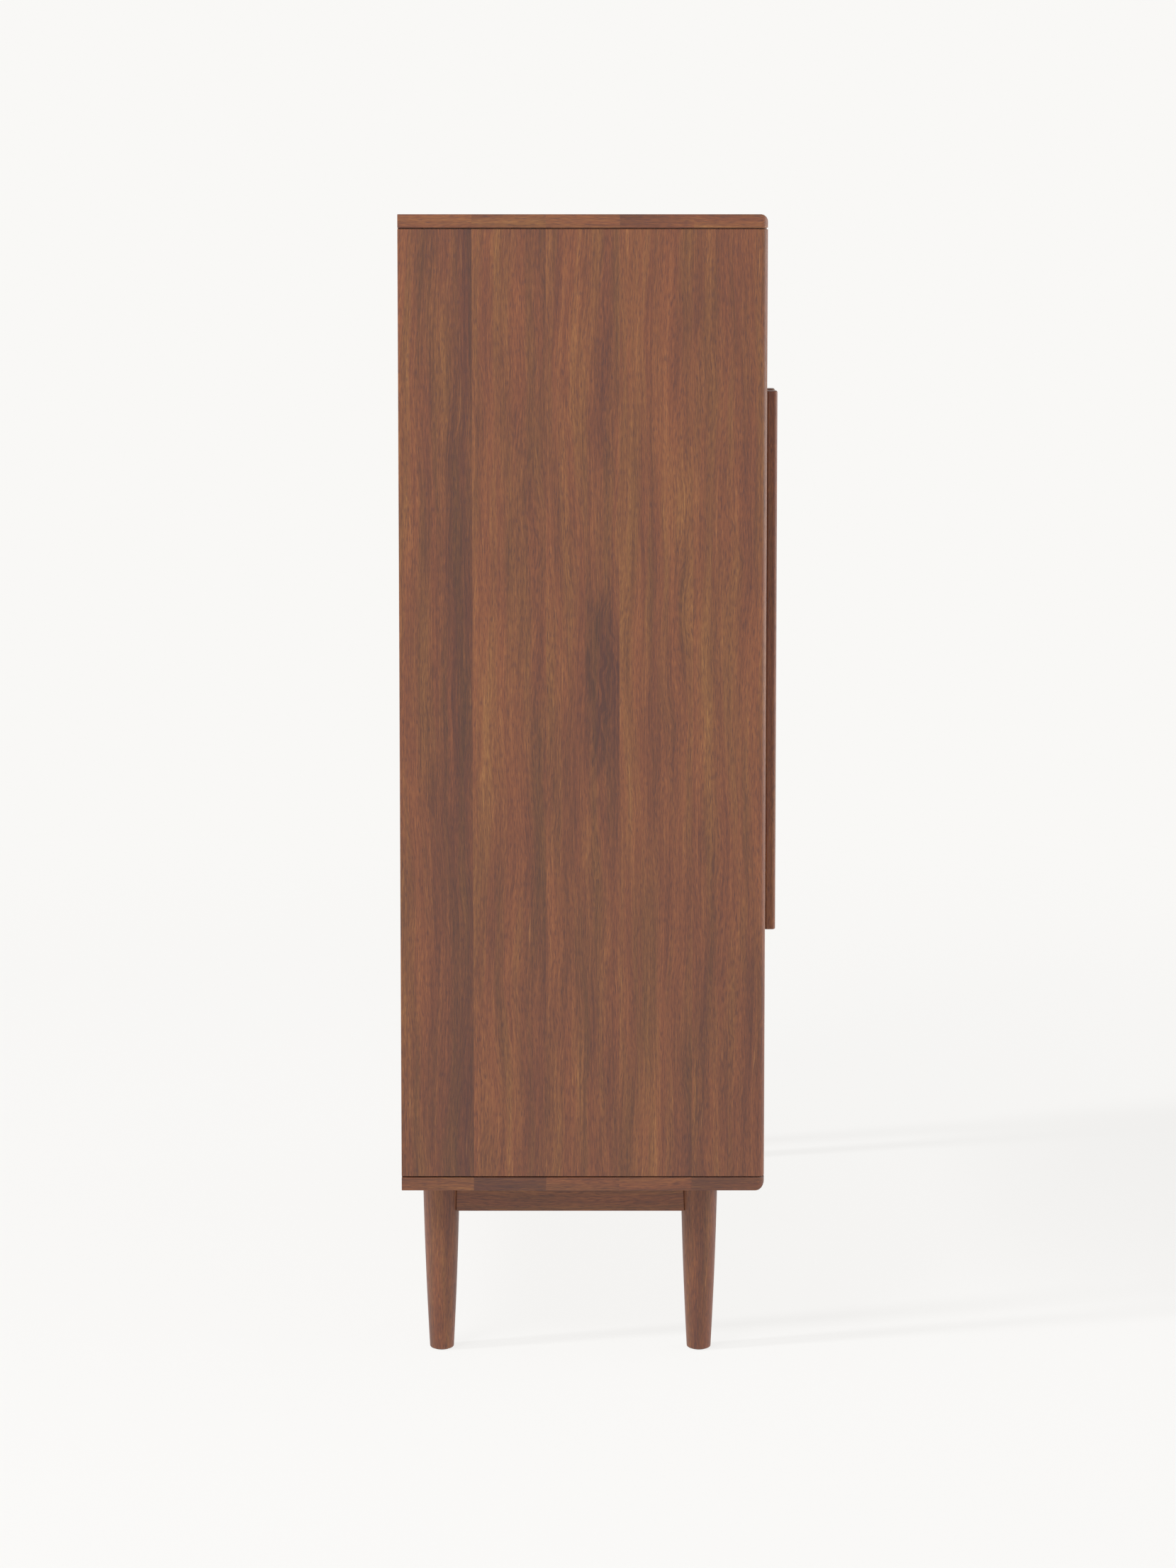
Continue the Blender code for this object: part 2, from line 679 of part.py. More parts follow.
def build_door(side, hand, top, bottom):
    """One door with all that moves with it, on an empty that stands on its hinge axis."""
    door_axis = bpy.data.objects.new(f"{side}_door_axis", None)
    bpy.context.scene.collection.objects.link(door_axis)
    door_axis.location = (hand * PIVOT_X, PIVOT_Y, DOOR_BOTTOM_Z)

    outer_x = hand * DOOR_EDGE_X
    inner_x = hand * (DOOR_EDGE_X - DOOR_WIDTH)
    place, size = centre_of(
        (min(outer_x, inner_x), FRONT_Y, DOOR_BOTTOM_Z),
        (max(outer_x, inner_x), DOOR_BACK_Y, DOOR_TOP_Z),
    )
    board = box_shape(*size)
    front_edges = [((axis, sign), ("y", -1)) for axis in "xz" for sign in (-1, 1)]
    round_box_edges(board, DOOR_EDGE_ROUND, front_edges, SMALL_ROUND_SEGMENTS)
    door = add_piece(f"{side}_door", board, place, WALNUT_PANEL, door_axis)

    build_handle(f"{side}_handle", hand, door_axis)
    build_hinge(side, "top", hand, top, door, door_axis)
    build_hinge(side, "bottom", hand, bottom, door, door_axis)
    build_catch(side, hand, door_axis)


# ---------------------------------------------------------------- leg frame


def leg_radius(height, grow=0.0):
    """Half the leg's diameter at a height: a straight taper with a slight swell half way up."""
    share = height / LEG_HEIGHT
    straight = LEG_FOOT_DIAMETER + (LEG_TOP_DIAMETER - LEG_FOOT_DIAMETER) * share
    return (straight + 4 * LEG_SWELL * share * (1 - share)) / 2 + grow


def turned_shape(profile, sides):
    """Solid of revolution about Z.

    The profile is (radius, height) pairs that start and end at radius 0.
    """
    shape = bmesh.new()
    points = [shape.verts.new((radius, 0, height)) for radius, height in profile]
    edges = [shape.edges.new(pair) for pair in zip(points, points[1:])]
    bmesh.ops.spin(
        shape,
        geom=points + edges,
        cent=(0, 0, 0),
        axis=(0, 0, 1),
        angle=2 * math.pi,
        steps=sides,
        use_merge=True,
        use_duplicate=False,
    )
    bmesh.ops.remove_doubles(shape, verts=shape.verts, dist=TINY)
    bmesh.ops.recalc_face_normals(shape, faces=shape.faces)
    return shape


def leg_profile():
    """Half section of a leg: recess for its glide, rounded foot, tapered shaft and flat top."""
    recess_radius = GLIDE_RADIUS + FIT_GAP
    recess_top_z = GLIDE_THICKNESS + FIT_GAP
    foot_z = GLIDE_PROUD
    round_z = foot_z + LEG_FOOT_ROUND
    foot_radius = leg_radius(round_z)
    profile = [(0, recess_top_z), (recess_radius, recess_top_z), (recess_radius, foot_z)]
    profile += arc_points(
        (foot_radius - LEG_FOOT_ROUND, round_z), LEG_FOOT_ROUND, 270, 360, ROUND_SEGMENTS
    )
    for step in range(1, LEG_TAPER_STEPS + 1):
        height = round_z + (LEG_TOP_Z - round_z) * step / LEG_TAPER_STEPS
        profile.append((leg_radius(height), height))
    return profile + [(0, LEG_TOP_Z)]


def scribe_profile():
    """Half section of the round end that a rail is scribed to: the leg's shaft plus a gap."""
    low_z = LEG_TOP_Z - RAIL_HEIGHT - OVERCUT
    high_z = LEG_TOP_Z + OVERCUT
    return [
        (0, low_z),
        (leg_radius(low_z, FIT_GAP), low_z),
        (leg_radius(high_z, FIT_GAP), high_z),
        (0, high_z),
    ]


def tenon_box(leg_place, direction, reach, root, thickness, height):
    """Corners of a box that runs out from near a leg's axis along X or Y."""
    along = Vector(direction)
    across = Vector((abs(along.y), abs(along.x), 0)) * thickness / 2
    start = Vector((leg_place[0], leg_place[1], RAIL_MIDDLE_Z)) + along * reach
    end = Vector((leg_place[0], leg_place[1], RAIL_MIDDLE_Z)) + along * root
    upright = Vector((0, 0, height / 2))
    corners = [
        end_point + sign * (across + upright) for end_point in (start, end) for sign in (-1, 1)
    ]
    low = [min(corner[axis] for corner in corners) for axis in range(3)]
    high = [max(corner[axis] for corner in corners) for axis in range(3)]
    return low, high


def build_leg(name, place, rail_directions):
    """Turned leg with a glide under its foot and a mortise for each rail that meets it."""
    leg = add_piece(name, turned_shape(leg_profile(), LEG_SIDES), (*place, 0), WALNUT_SOLID, smooth=True)
    for number, direction in enumerate(rail_directions):
        low, high = tenon_box(
            place,
            direction,
            TENON_FROM_LEG_AXIS - FIT_GAP,
            LEG_TOP_DIAMETER / 2 + OVERCUT,
            TENON_THICKNESS + 2 * FIT_GAP,
            TENON_HEIGHT + 2 * FIT_GAP,
        )
        combine(leg, helper_between(f"{name}_mortise_{number}", low, high), "DIFFERENCE")

    glide = cylinder_shape(GLIDE_RADIUS, GLIDE_THICKNESS, GLIDE_SIDES)
    add_piece(name + "_glide", glide, (*place, GLIDE_THICKNESS / 2), GLIDE_PLASTIC, smooth=True)


def build_rail(name, start, end):
    """Rail between two legs, scribed to their round sides, with a tenon into each."""
    start, end = Vector((*start, RAIL_MIDDLE_Z)), Vector((*end, RAIL_MIDDLE_Z))
    along = (end - start).normalized()
    length = (end - start).length
    size = Vector((RAIL_THICKNESS, RAIL_THICKNESS, RAIL_HEIGHT))
    if abs(along.x) > abs(along.y):
        size.x = length
    else:
        size.y = length
    rail = add_piece(name, box_shape(*size), (start + end) / 2, WALNUT_SOLID)
    for number, (leg_place, direction) in enumerate(((start, along), (end, -along))):
        scribe = add_helper(
            f"{name}_scribe_{number}",
            turned_shape(scribe_profile(), LEG_SIDES),
            (leg_place.x, leg_place.y, 0),
        )
        combine(rail, scribe, "DIFFERENCE")
        low, high = tenon_box(
            leg_place, direction, TENON_FROM_LEG_AXIS, TENON_ROOT, TENON_THICKNESS, TENON_HEIGHT
        )
        combine(rail, helper_between(f"{name}_tenon_{number}", low, high), "UNION")


def build_leg_frame():
    """Four legs with their glides, two side aprons, a front rail and a back rail."""
    for depth, leg_y, inward_y in (("front", LEG_FRONT_Y, 1), ("back", LEG_BACK_Y, -1)):
        for side, hand in (("left", -1), ("right", 1)):
            rails = [(-hand, 0, 0), (0, inward_y, 0)]
            build_leg(f"{depth}_{side}_leg", (hand * LEG_X, leg_y), rails)
    build_rail("left_side_apron", (-LEG_X, LEG_FRONT_Y), (-LEG_X, LEG_BACK_Y))
    build_rail("right_side_apron", (LEG_X, LEG_FRONT_Y), (LEG_X, LEG_BACK_Y))
    build_rail("front_rail", (-LEG_X, LEG_FRONT_Y), (LEG_X, LEG_FRONT_Y))
    build_rail("back_rail", (-LEG_X, LEG_BACK_Y), (LEG_X, LEG_BACK_Y))


def main():
    """Builds every piece of the cabinet."""
    clear_scene()
    top, bottom = build_carcass()
    build_shelves()
    build_door("left", -1, top, bottom)
    build_door("right", 1, top, bottom)
    build_leg_frame()


main()
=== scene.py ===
"""Looks of the two-door walnut shoe cabinet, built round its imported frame.

Every visible piece is a surface worked out with numpy: a rounded profile carried along a
straight line, a profile turned round an axis, or a tube along a bent line. Each one takes its
place from the CAD node that it stands for. Units are metres, +Z is up and the doors face -Y.
"""

from __future__ import annotations

import json
import logging
import math
from dataclasses import dataclass
from enum import Enum
from typing import Sequence, Union

import bpy
import numpy as np
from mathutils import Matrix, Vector


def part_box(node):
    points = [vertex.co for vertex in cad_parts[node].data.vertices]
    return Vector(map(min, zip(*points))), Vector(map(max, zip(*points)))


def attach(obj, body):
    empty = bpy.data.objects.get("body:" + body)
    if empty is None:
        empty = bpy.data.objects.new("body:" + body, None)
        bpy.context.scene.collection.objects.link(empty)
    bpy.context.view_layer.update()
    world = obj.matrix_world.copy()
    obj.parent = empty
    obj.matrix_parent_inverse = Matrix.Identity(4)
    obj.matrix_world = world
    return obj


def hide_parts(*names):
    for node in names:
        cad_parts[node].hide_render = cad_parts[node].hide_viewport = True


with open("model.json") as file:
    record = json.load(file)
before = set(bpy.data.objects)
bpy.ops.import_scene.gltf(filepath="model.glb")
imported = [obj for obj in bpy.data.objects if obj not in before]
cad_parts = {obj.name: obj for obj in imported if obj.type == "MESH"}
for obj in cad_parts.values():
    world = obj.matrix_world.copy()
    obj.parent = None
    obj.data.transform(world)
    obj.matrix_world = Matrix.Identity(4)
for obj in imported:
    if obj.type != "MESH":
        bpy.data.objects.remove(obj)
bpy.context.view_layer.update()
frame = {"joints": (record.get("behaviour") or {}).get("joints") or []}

log = logging.getLogger("shoe_cabinet")

Array = np.ndarray
Amount = Union[float, np.ndarray]
Socket = bpy.types.NodeSocket
Value = Union[float, Sequence[float], Socket]
Colour = tuple[float, float, float]

# Arc steps on a rounded edge, and sides of a turned or tubular piece
EDGE_STEPS = 5
TURNED_SIDES = 72
SMALL_TURNED_SIDES = 32
TUBE_SIDES = 16

# The smallest round that a board's edge is sanded to, and how much of it an end edge gets
ARRIS = 0.0006
END_ARRIS = 0.9 * ARRIS

# Width of the staves that the panels are glued up from
STAVE_WIDTH = 0.077

# How far one more seed moves a piece's grain (across, through, along), and its count of staves
SEED_MOVE = (1.37, 2.11, 3.73)
SEED_STAVES = 16


class Axis(Enum):
    """Direction that a profile is carried along.

    The value says where (a, b, along) go in (x, y, z).
    """

    X = (1, 2, 0)
    Y = (2, 0, 1)
    Z = (0, 1, 2)

    @property
    def along(self) -> int:
        """Index in (x, y, z) of the direction itself."""
        return self.value[2]


# ------------------------------------------------------------------ surfaces


@dataclass
class Shell:
    """Closed surface of rings of points with exact normals, capped flat on both end rings."""

    points: Array
    normals: Array


def unit(vectors: Array) -> Array:
    """The vectors, each brought to length one."""
    return vectors / np.linalg.norm(vectors, axis=-1, keepdims=True)


def cross_2d(first: Array, second: Array) -> Array:
    """Signed area that two plane vectors span."""
    return first[..., 0] * second[..., 1] - first[..., 1] * second[..., 0]


def corner_arcs(
    place: Array, radius: Array, run_in: Array, run_out: Array, steps: int
) -> tuple[Array, Array]:
    """Arcs that round a line's corners.

    The normal is the run's direction turned a quarter clockwise. The arc's centre lies on the
    corner's bisector, at (n_in + n_out) * radius / (1 + n_in . n_out) from the corner, and the
    arc's points are the centre plus or minus radius times the normal, which turns evenly.

    Args:
        place: Corners, (count, 2).
        radius: Radius at each corner, (count, 1).
        run_in: Unit direction of the run into each corner.
        run_out: Unit direction of the run out of each corner.
        steps: Steps along each arc.

    Returns:
        Points and normals, each (count, steps + 1, 2).
    """
    normal_in = np.stack([run_in[:, 1], -run_in[:, 0]], axis=1)
    normal_out = np.stack([run_out[:, 1], -run_out[:, 0]], axis=1)
    side = np.where(cross_2d(run_in, run_out) >= 0, 1.0, -1.0)[:, None]
    dot = np.sum(normal_in * normal_out, axis=1, keepdims=True)
    centre = place - side * radius * (normal_in + normal_out) / (1 + dot)
    start = np.arctan2(normal_in[:, 1], normal_in[:, 0])
    turn = np.arctan2(cross_2d(normal_in, normal_out), dot[:, 0])
    angles = start[:, None] + turn[:, None] * np.linspace(0, 1, steps + 1)
    normals = np.stack([np.cos(angles), np.sin(angles)], axis=-1)
    points = centre[:, None] + (side * radius)[:, None] * normals
    return points, normals


def rounded_outline(
    corners: Sequence[tuple[float, float, float]], steps: int = EDGE_STEPS, run_points: int = 0
) -> tuple[Array, Array]:
    """Closed outline with rounded corners.

    Args:
        corners: (a, b, radius) of each corner, anticlockwise.
        steps: Steps along each corner's arc.
        run_points: Extra points along each straight run.

    Returns:
        Points and outward normals, each (count, 2).
    """
    table = np.array(corners, float)
    place, radius = table[:, :2], table[:, 2:]
    run_out = unit(np.roll(place, -1, axis=0) - place)
    points, normals = corner_arcs(place, radius, np.roll(run_out, 1, axis=0), run_out, steps)
    if run_points:
        share = np.linspace(0, 1, run_points + 2)[1:-1, None]
        end = points[:, -1:]
        run = end + share * (np.roll(points, -1, axis=0)[:, :1] - end)
        points = np.concatenate([points, run], axis=1)
        normals = np.concatenate([normals, np.repeat(normals[:, -1:], run_points, axis=1)], axis=1)
    return points.reshape(-1, 2), normals.reshape(-1, 2)


def rounded_path(
    corners: Sequence[tuple[float, float, float]], steps: int = EDGE_STEPS
) -> tuple[Array, Array]:
    """Open line whose inner corners are rounded; its first and last radii aren't used.

    Args:
        corners: (a, b, radius) of each corner.
        steps: Steps along each corner's arc.

    Returns:
        Points and normals (the direction turned a quarter clockwise), each (count, 2).
    """
    table = np.array(corners, float)
    place, radius = table[:, :2], table[:, 2:]
    run = unit(np.diff(place, axis=0))
    points, normals = corner_arcs(place[1:-1], radius[1:-1], run[:-1], run[1:], steps)
    side = np.stack([run[:, 1], -run[:, 0]], axis=1)
    points = np.concatenate([place[:1], points.reshape(-1, 2), place[-1:]])
    normals = np.concatenate([side[:1], normals.reshape(-1, 2), side[-1:]])
    return points, normals


def mirrored(
    corners: Sequence[tuple[float, float, float]], hand: int
) -> list[tuple[float, float, float]]:
    """An outline's corners for one hand.

    Args:
        corners: (a, b, radius) of each corner of the right-hand piece.
        hand: +1 for the right-hand piece, or -1 for its mirror image.

    Returns:
        The corners, anticlockwise for either hand.
    """
    if hand > 0:
        return list(corners)
    return [(-a, b, radius) for a, b, radius in reversed(corners)]


def rectangle(
    low_a: float, low_b: float, high_a: float, high_b: float, radius: float
) -> list[tuple[float, float, float]]:
    """Corners of a rectangle, anticlockwise, all with one radius."""
    return [
        (low_a, low_b, radius),
        (high_a, low_b, radius),
        (high_a, high_b, radius),
        (low_a, high_b, radius),
    ]


def to_world(a: Array, b: Array, along: Array, axis: Axis) -> Array:
    """Stacks profile and length coordinates as (x, y, z).

    Args:
        a: First coordinate of the profile.
        b: Second coordinate of the profile.
        along: Coordinate along the axis.
        axis: Direction that the profile is carried along.

    Returns:
        Places or normals, with (x, y, z) as the last dimension.
    """
    parts = np.broadcast_arrays(a, b, along)
    world = np.empty(parts[0].shape + (3,))
    for part, target in zip(parts, axis.value):
        world[..., target] = part
    return world


def swept(
    outline: tuple[Array, Array],
    low: Amount,
    high: Amount,
    axis: Axis,
    round_low: Amount = END_ARRIS,
    round_high: Amount = END_ARRIS,
    steps: int = EDGE_STEPS,
) -> Shell:
    """Profile carried straight from low to high, with both end edges rounded.

    At the angle t on an end edge of radius r the ring lies r (1 - cos t) inside the outline and
    r (1 - sin t) short of the end, and its normal is the outline's times cos t plus the axis times
    sin t. Every amount may differ from point to point along the outline.

    Args:
        outline: Points and normals of the profile.
        low: Where the sweep starts.
        high: Where it ends.
        axis: Direction of the sweep.
        round_low: Radius of the edge at the start.
        round_high: Radius of the edge at the end.
        steps: Steps over each rounded edge.

    Returns:
        The closed shell.
    """
    points, normals = outline
    angle = np.linspace(math.pi / 2, 0, steps + 1)
    angle = np.concatenate([angle, angle[::-1]])[:, None]
    is_high = (np.arange(2 * (steps + 1)) > steps)[:, None]
    radius = np.where(is_high, round_high, round_low)
    inset = radius * (1 - np.cos(angle))
    short = radius * (1 - np.sin(angle))
    along = np.where(is_high, high - short, low + short)
    sign = np.where(is_high, 1.0, -1.0)
    ring = points[None] - normals[None] * inset[..., None]
    shell_points = to_world(ring[..., 0], ring[..., 1], along, axis)
    shell_normals = to_world(
        normals[None, :, 0] * np.cos(angle),
        normals[None, :, 1] * np.cos(angle),
        np.broadcast_to(sign * np.sin(angle), along.shape),
        axis,
    )
    return Shell(shell_points, shell_normals)


def turned(
    profile: tuple[Array, Array], centre: Vector, sides: int = TURNED_SIDES, down: bool = False
) -> Shell:
    """Profile of (radius, height) turned round a vertical axis.

    A point at the angle t is (radius cos t, radius sin t, height).

    Args:
        profile: Points and normals, from the lower end to the upper end.
        centre: A point on the axis, from which heights are counted.
        sides: Sides of the round.
        down: Heights are counted downwards, for a piece that hangs under the centre.

    Returns:
        The closed shell.
    """
    points, normals = profile
    if down:
        points, normals = points[::-1] * (1, -1), normals[::-1] * (1, -1)
    angle = np.arange(sides) * (2 * math.pi / sides)
    spoke = np.stack([np.cos(angle), np.sin(angle)], axis=-1)[None]
    flat = points[:, None, :1] * spoke
    height = np.broadcast_to(points[:, 1:, None], flat.shape[:2] + (1,))
    normal_height = np.broadcast_to(normals[:, 1:, None], height.shape)
    return Shell(
        np.concatenate([flat, height], axis=-1) + np.array(centre),
        np.concatenate([normals[:, None, :1] * spoke, normal_height], axis=-1),
    )


def tube(path: tuple[Array, Array], height: float, radius: float, sides: int = TUBE_SIDES) -> Shell:
    """Round tube along a level line.

    Each ring's points lie at radius (cos t up + sin t sideways) from its point of the line.

    Args:
        path: Points and sideways normals of the line, in plan.
        height: Height of the line.
        radius: Radius of the tube.
        sides: Sides of the round.

    Returns:
        The closed shell.
    """
    points, normals = path
    angle = np.arange(sides) * (2 * math.pi / sides)
    sideways = normals[:, None] * np.sin(angle)[None, :, None]
    up = np.broadcast_to(np.cos(angle)[None, :, None], sideways.shape[:2] + (1,))
    shell_normals = np.concatenate([sideways, up], axis=-1)
    centre = np.concatenate([points, np.full((len(points), 1), height)], axis=1)
    return Shell(centre[:, None] + radius * shell_normals, shell_normals)


def reoriented(shell: Shell, centre: Vector, axis: Axis, sign: int) -> Shell:
    """A shell made upright round the origin, laid along another axis and moved to a centre.

    Args:
        shell: The upright shell.
        centre: Where its origin goes.
        axis: The axis that its height goes along.
        sign: +1 or -1, the way along that axis.

    Returns:
        The moved shell, whose faces still point outwards.
    """

    def lay(vectors: Array) -> Array:
        """Vectors turned so that +Z goes along the axis."""
        a, b, c = vectors[..., 0] * sign, vectors[..., 1], vectors[..., 2] * sign
        return to_world(a, b, c, axis)

    return Shell(lay(shell.points) + np.array(centre), lay(shell.normals))


def box_shell(low: Sequence[float], high: Sequence[float], edge: float = ARRIS) -> Shell:
    """Box between two corners with its edges rounded.

    Args:
        low: Its lower corner.
        high: Its upper corner.
        edge: Radius of its upright edges; the level ones are a tenth smaller.

    Returns:
        The closed shell.
    """
    outline = rounded_outline(rectangle(low[0], low[1], high[0], high[1], edge))
    return swept(outline, low[2], high[2], Axis.Z, edge * 0.9, edge * 0.9)


def round_cornered_board(
    outline: tuple[Array, Array], low: float, high: float, corner: float, steps: int = 10
) -> Shell:
    """Board along X with both of its upright front corners rounded in plan.

    At the distance s from an end nothing stands in front of y = front + r - sqrt(r^2 - (r - s)^2),
    where r is the corner's radius. A point that would is moved back to that arc and takes its
    normal. Each end edge is also drawn in by a small arris.

    Args:
        outline: Points and normals of the board's (y, z) section.
        low: Where the board starts.
        high: Where it ends.
        corner: Radius of the front corners in plan.
        steps: Steps over each corner.

    Returns:
        The closed shell.
    """
    points, normals = outline
    tilt = np.concatenate([[math.pi / 2, math.pi / 4], np.zeros(steps + 1)])
    corner_turn = np.linspace(0, math.pi / 2, steps + 1)
    over_arris = END_ARRIS * (1 - np.sin(tilt[:2]))
    over_corner = END_ARRIS + (corner - END_ARRIS) * (1 - np.cos(corner_turn))
    from_end = np.concatenate([over_arris, over_corner])
    tilt, from_end = (np.concatenate([part, part[::-1]])[:, None] for part in (tilt, from_end))
    sign = np.repeat([-1.0, 1.0], len(tilt) // 2)[:, None]
    along = np.where(sign > 0, high - from_end, low + from_end)
    inset = END_ARRIS * (1 - np.cos(tilt))
    a = points[None, :, 0] - normals[None, :, 0] * inset
    b = points[None, :, 1] - normals[None, :, 1] * inset
    sideways = (corner - from_end) / corner
    forwards = np.sqrt(np.clip(1 - sideways**2, 0, 1))
    limit = points[:, 0].min() + corner * (1 - forwards)
    moved = a < limit
    shell_normals = to_world(
        np.where(moved, -forwards, normals[None, :, 0] * np.cos(tilt)),
        np.where(moved, 0.0, normals[None, :, 1] * np.cos(tilt)),
        sign * np.where(moved, sideways, np.sin(tilt)),
        Axis.X,
    )
    return Shell(to_world(np.maximum(a, limit), b, along, Axis.X), shell_normals)


def front_weight(outline: tuple[Array, Array]) -> Array:
    """For each point of a plan outline, 1 where it faces -Y, down to 0 where it faces sideways."""
    share = np.clip(-outline[1][:, 1], 0, 1)
    return share * share * (3 - 2 * share)


# ------------------------------------------------------------------ materials


@dataclass(frozen=True)
class Pattern:
    """A noise pattern: its cells a metre on each axis, its octaves of detail and its weight."""

    cells: tuple[float, float, float]
    detail: float
    weight: float = 1.0


class Graph:
    """Adds and links the nodes of one material."""

    def __init__(self, name: str) -> None:
        """Starts a material with an empty node tree.

        Args:
            name: The material's name.
        """
        self.material = bpy.data.materials.new(name)
        self.material.use_nodes = True
        self.tree = self.material.node_tree
        self.tree.nodes.clear()

    def add(
        self, kind: str, inputs: dict[Union[str, int], Value] | None = None, **settings: object
    ) -> bpy.types.Node:
        """Adds a node.

        Args:
            kind: Node type without its ShaderNode prefix.
            inputs: Sockets to link, or their fixed values.
            **settings: The node's own options.

        Returns:
            The node.
        """
        node = self.tree.nodes.new("ShaderNode" + kind)
        for key, option in settings.items():
            setattr(node, key, option)
        for key, value in (inputs or {}).items():
            if isinstance(value, Socket):
                self.tree.links.new(value, node.inputs[key])
            else:
                node.inputs[key].default_value = value
        return node

    def math(self, operation: str, first: Value, second: Value = 0.0) -> Socket:
        """Result of one arithmetic step."""
        return self.add("Math", {0: first, 1: second}, operation=operation).outputs[0]

    def moved(self, vector: Socket, move: Value, operation: str = "ADD") -> Socket:
        """A vector with another one added, or taken away with operation SUBTRACT."""
        return self.add("VectorMath", {0: vector, 1: move}, operation=operation).outputs[0]

    def scaled(self, vector: Socket, scale: Sequence[float]) -> Socket:
        """A vector times a fixed scale on each axis."""
        return self.add("VectorMath", {0: vector, 1: scale}, operation="MULTIPLY").outputs[0]

    def length(self, vector: Socket) -> Socket:
        """Length of a vector."""
        return self.add("VectorMath", {0: vector}, operation="LENGTH").outputs["Value"]

    def noise(self, vector: Socket, pattern: Pattern) -> Socket:
        """Noise from 0 to 1.

        Args:
            vector: Where to read it.
            pattern: Its cells and detail.

        Returns:
            The noise.
        """
        stretched = self.scaled(vector, pattern.cells)
        inputs = {"Vector": stretched, "Scale": 1.0, "Detail": pattern.detail, "Roughness": 0.5}
        return self.add("TexNoise", inputs).outputs["Fac"]

    def swing(self, vector: Socket, pattern: Pattern) -> Socket:
        """Noise made to swing round zero, times the pattern's weight."""
        return self.centred(self.noise(vector, pattern), pattern.weight)

    def centred(self, value: Socket, weight: float) -> Socket:
        """A value from 0 to 1 made to swing round zero, times a weight."""
        return self.math("MULTIPLY", self.math("SUBTRACT", value, 0.5), weight)

    def total(self, *values: Value) -> Socket:
        """Sum of several values.

        Args:
            *values: Two values or more.

        Returns:
            Their sum.
        """
        result = values[0]
        for value in values[1:]:
            result = self.math("ADD", result, value)
        return result

    def step(self, value: Value, low: float, high: float) -> Socket:
        """Smooth rise from 0 at low to 1 at high."""
        node = self.add(
            "MapRange",
            {"Value": value, "From Min": low, "From Max": high, "To Min": 0.0, "To Max": 1.0},
            interpolation_type="SMOOTHSTEP",
        )
        return node.outputs["Result"]

    def ramp(
        self, value: Socket, stops: Sequence[tuple[float, Sequence[float]]], held: bool = False
    ) -> Socket:
        """Colour read from a list of stops.

        Args:
            value: Where to read, from 0 to 1.
            stops: (position, linear colour) of each stop.
            held: Whether each stop's colour holds flat up to the next stop.

        Returns:
            The colour.
        """
        node = self.add("ValToRGB", {"Fac": value})
        elements = node.color_ramp.elements
        node.color_ramp.interpolation = "CONSTANT" if held else "LINEAR"
        for number, (position, colour) in enumerate(stops):
            element = elements[number] if number < 2 else elements.new(position)
            element.position = position
            element.color = (*colour, 1.0)
        return node.outputs["Color"]

    def mix(self, share: Value, first: Value, second: Value) -> Socket:
        """Blend of two colours.

        Args:
            share: How much of the second colour there is, from 0 to 1.
            first: A colour or its socket.
            second: A colour or its socket.

        Returns:
            The blend.
        """
        node = self.add("Mix", {0: share}, data_type="RGBA")
        for key, value in ((6, first), (7, second)):
            if isinstance(value, Socket):
                self.tree.links.new(value, node.inputs[key])
            else:
                node.inputs[key].default_value = (*value, 1.0)
        return node.outputs[2]

    def finish(
        self, surface: dict[str, Value], height: Socket, distance: float, strength: float
    ) -> bpy.types.Material:
        """Closes the tree with a Principled surface and a fine bump.

        Args:
            surface: The shader's inputs.
            height: The bump's height, from 0 to 1.
            distance: How far a height of 1 stands out, in metres.
            strength: The bump's strength.

        Returns:
            The finished material.
        """
        bump = self.add("Bump", {"Height": height, "Distance": distance, "Strength": strength})
        shader = self.add("BsdfPrincipled", {**surface, "Normal": bump.outputs["Normal"]})
        self.add("OutputMaterial", {"Surface": shader.outputs["BSDF"]})
        return self.material


def srgb(red: float, green: float, blue: float) -> Colour:
    """Linear colour of a display colour, by the sRGB curve.

    Args:
        red: Red from 0 to 255.
        green: Green from 0 to 255.
        blue: Blue from 0 to 255.

    Returns:
        The linear colour.
    """
    display = np.array([red, green, blue]) / 255
    linear = np.where(display <= 0.04045, display / 12.92, ((display + 0.055) / 1.055) ** 2.4)
    return tuple(linear.tolist())


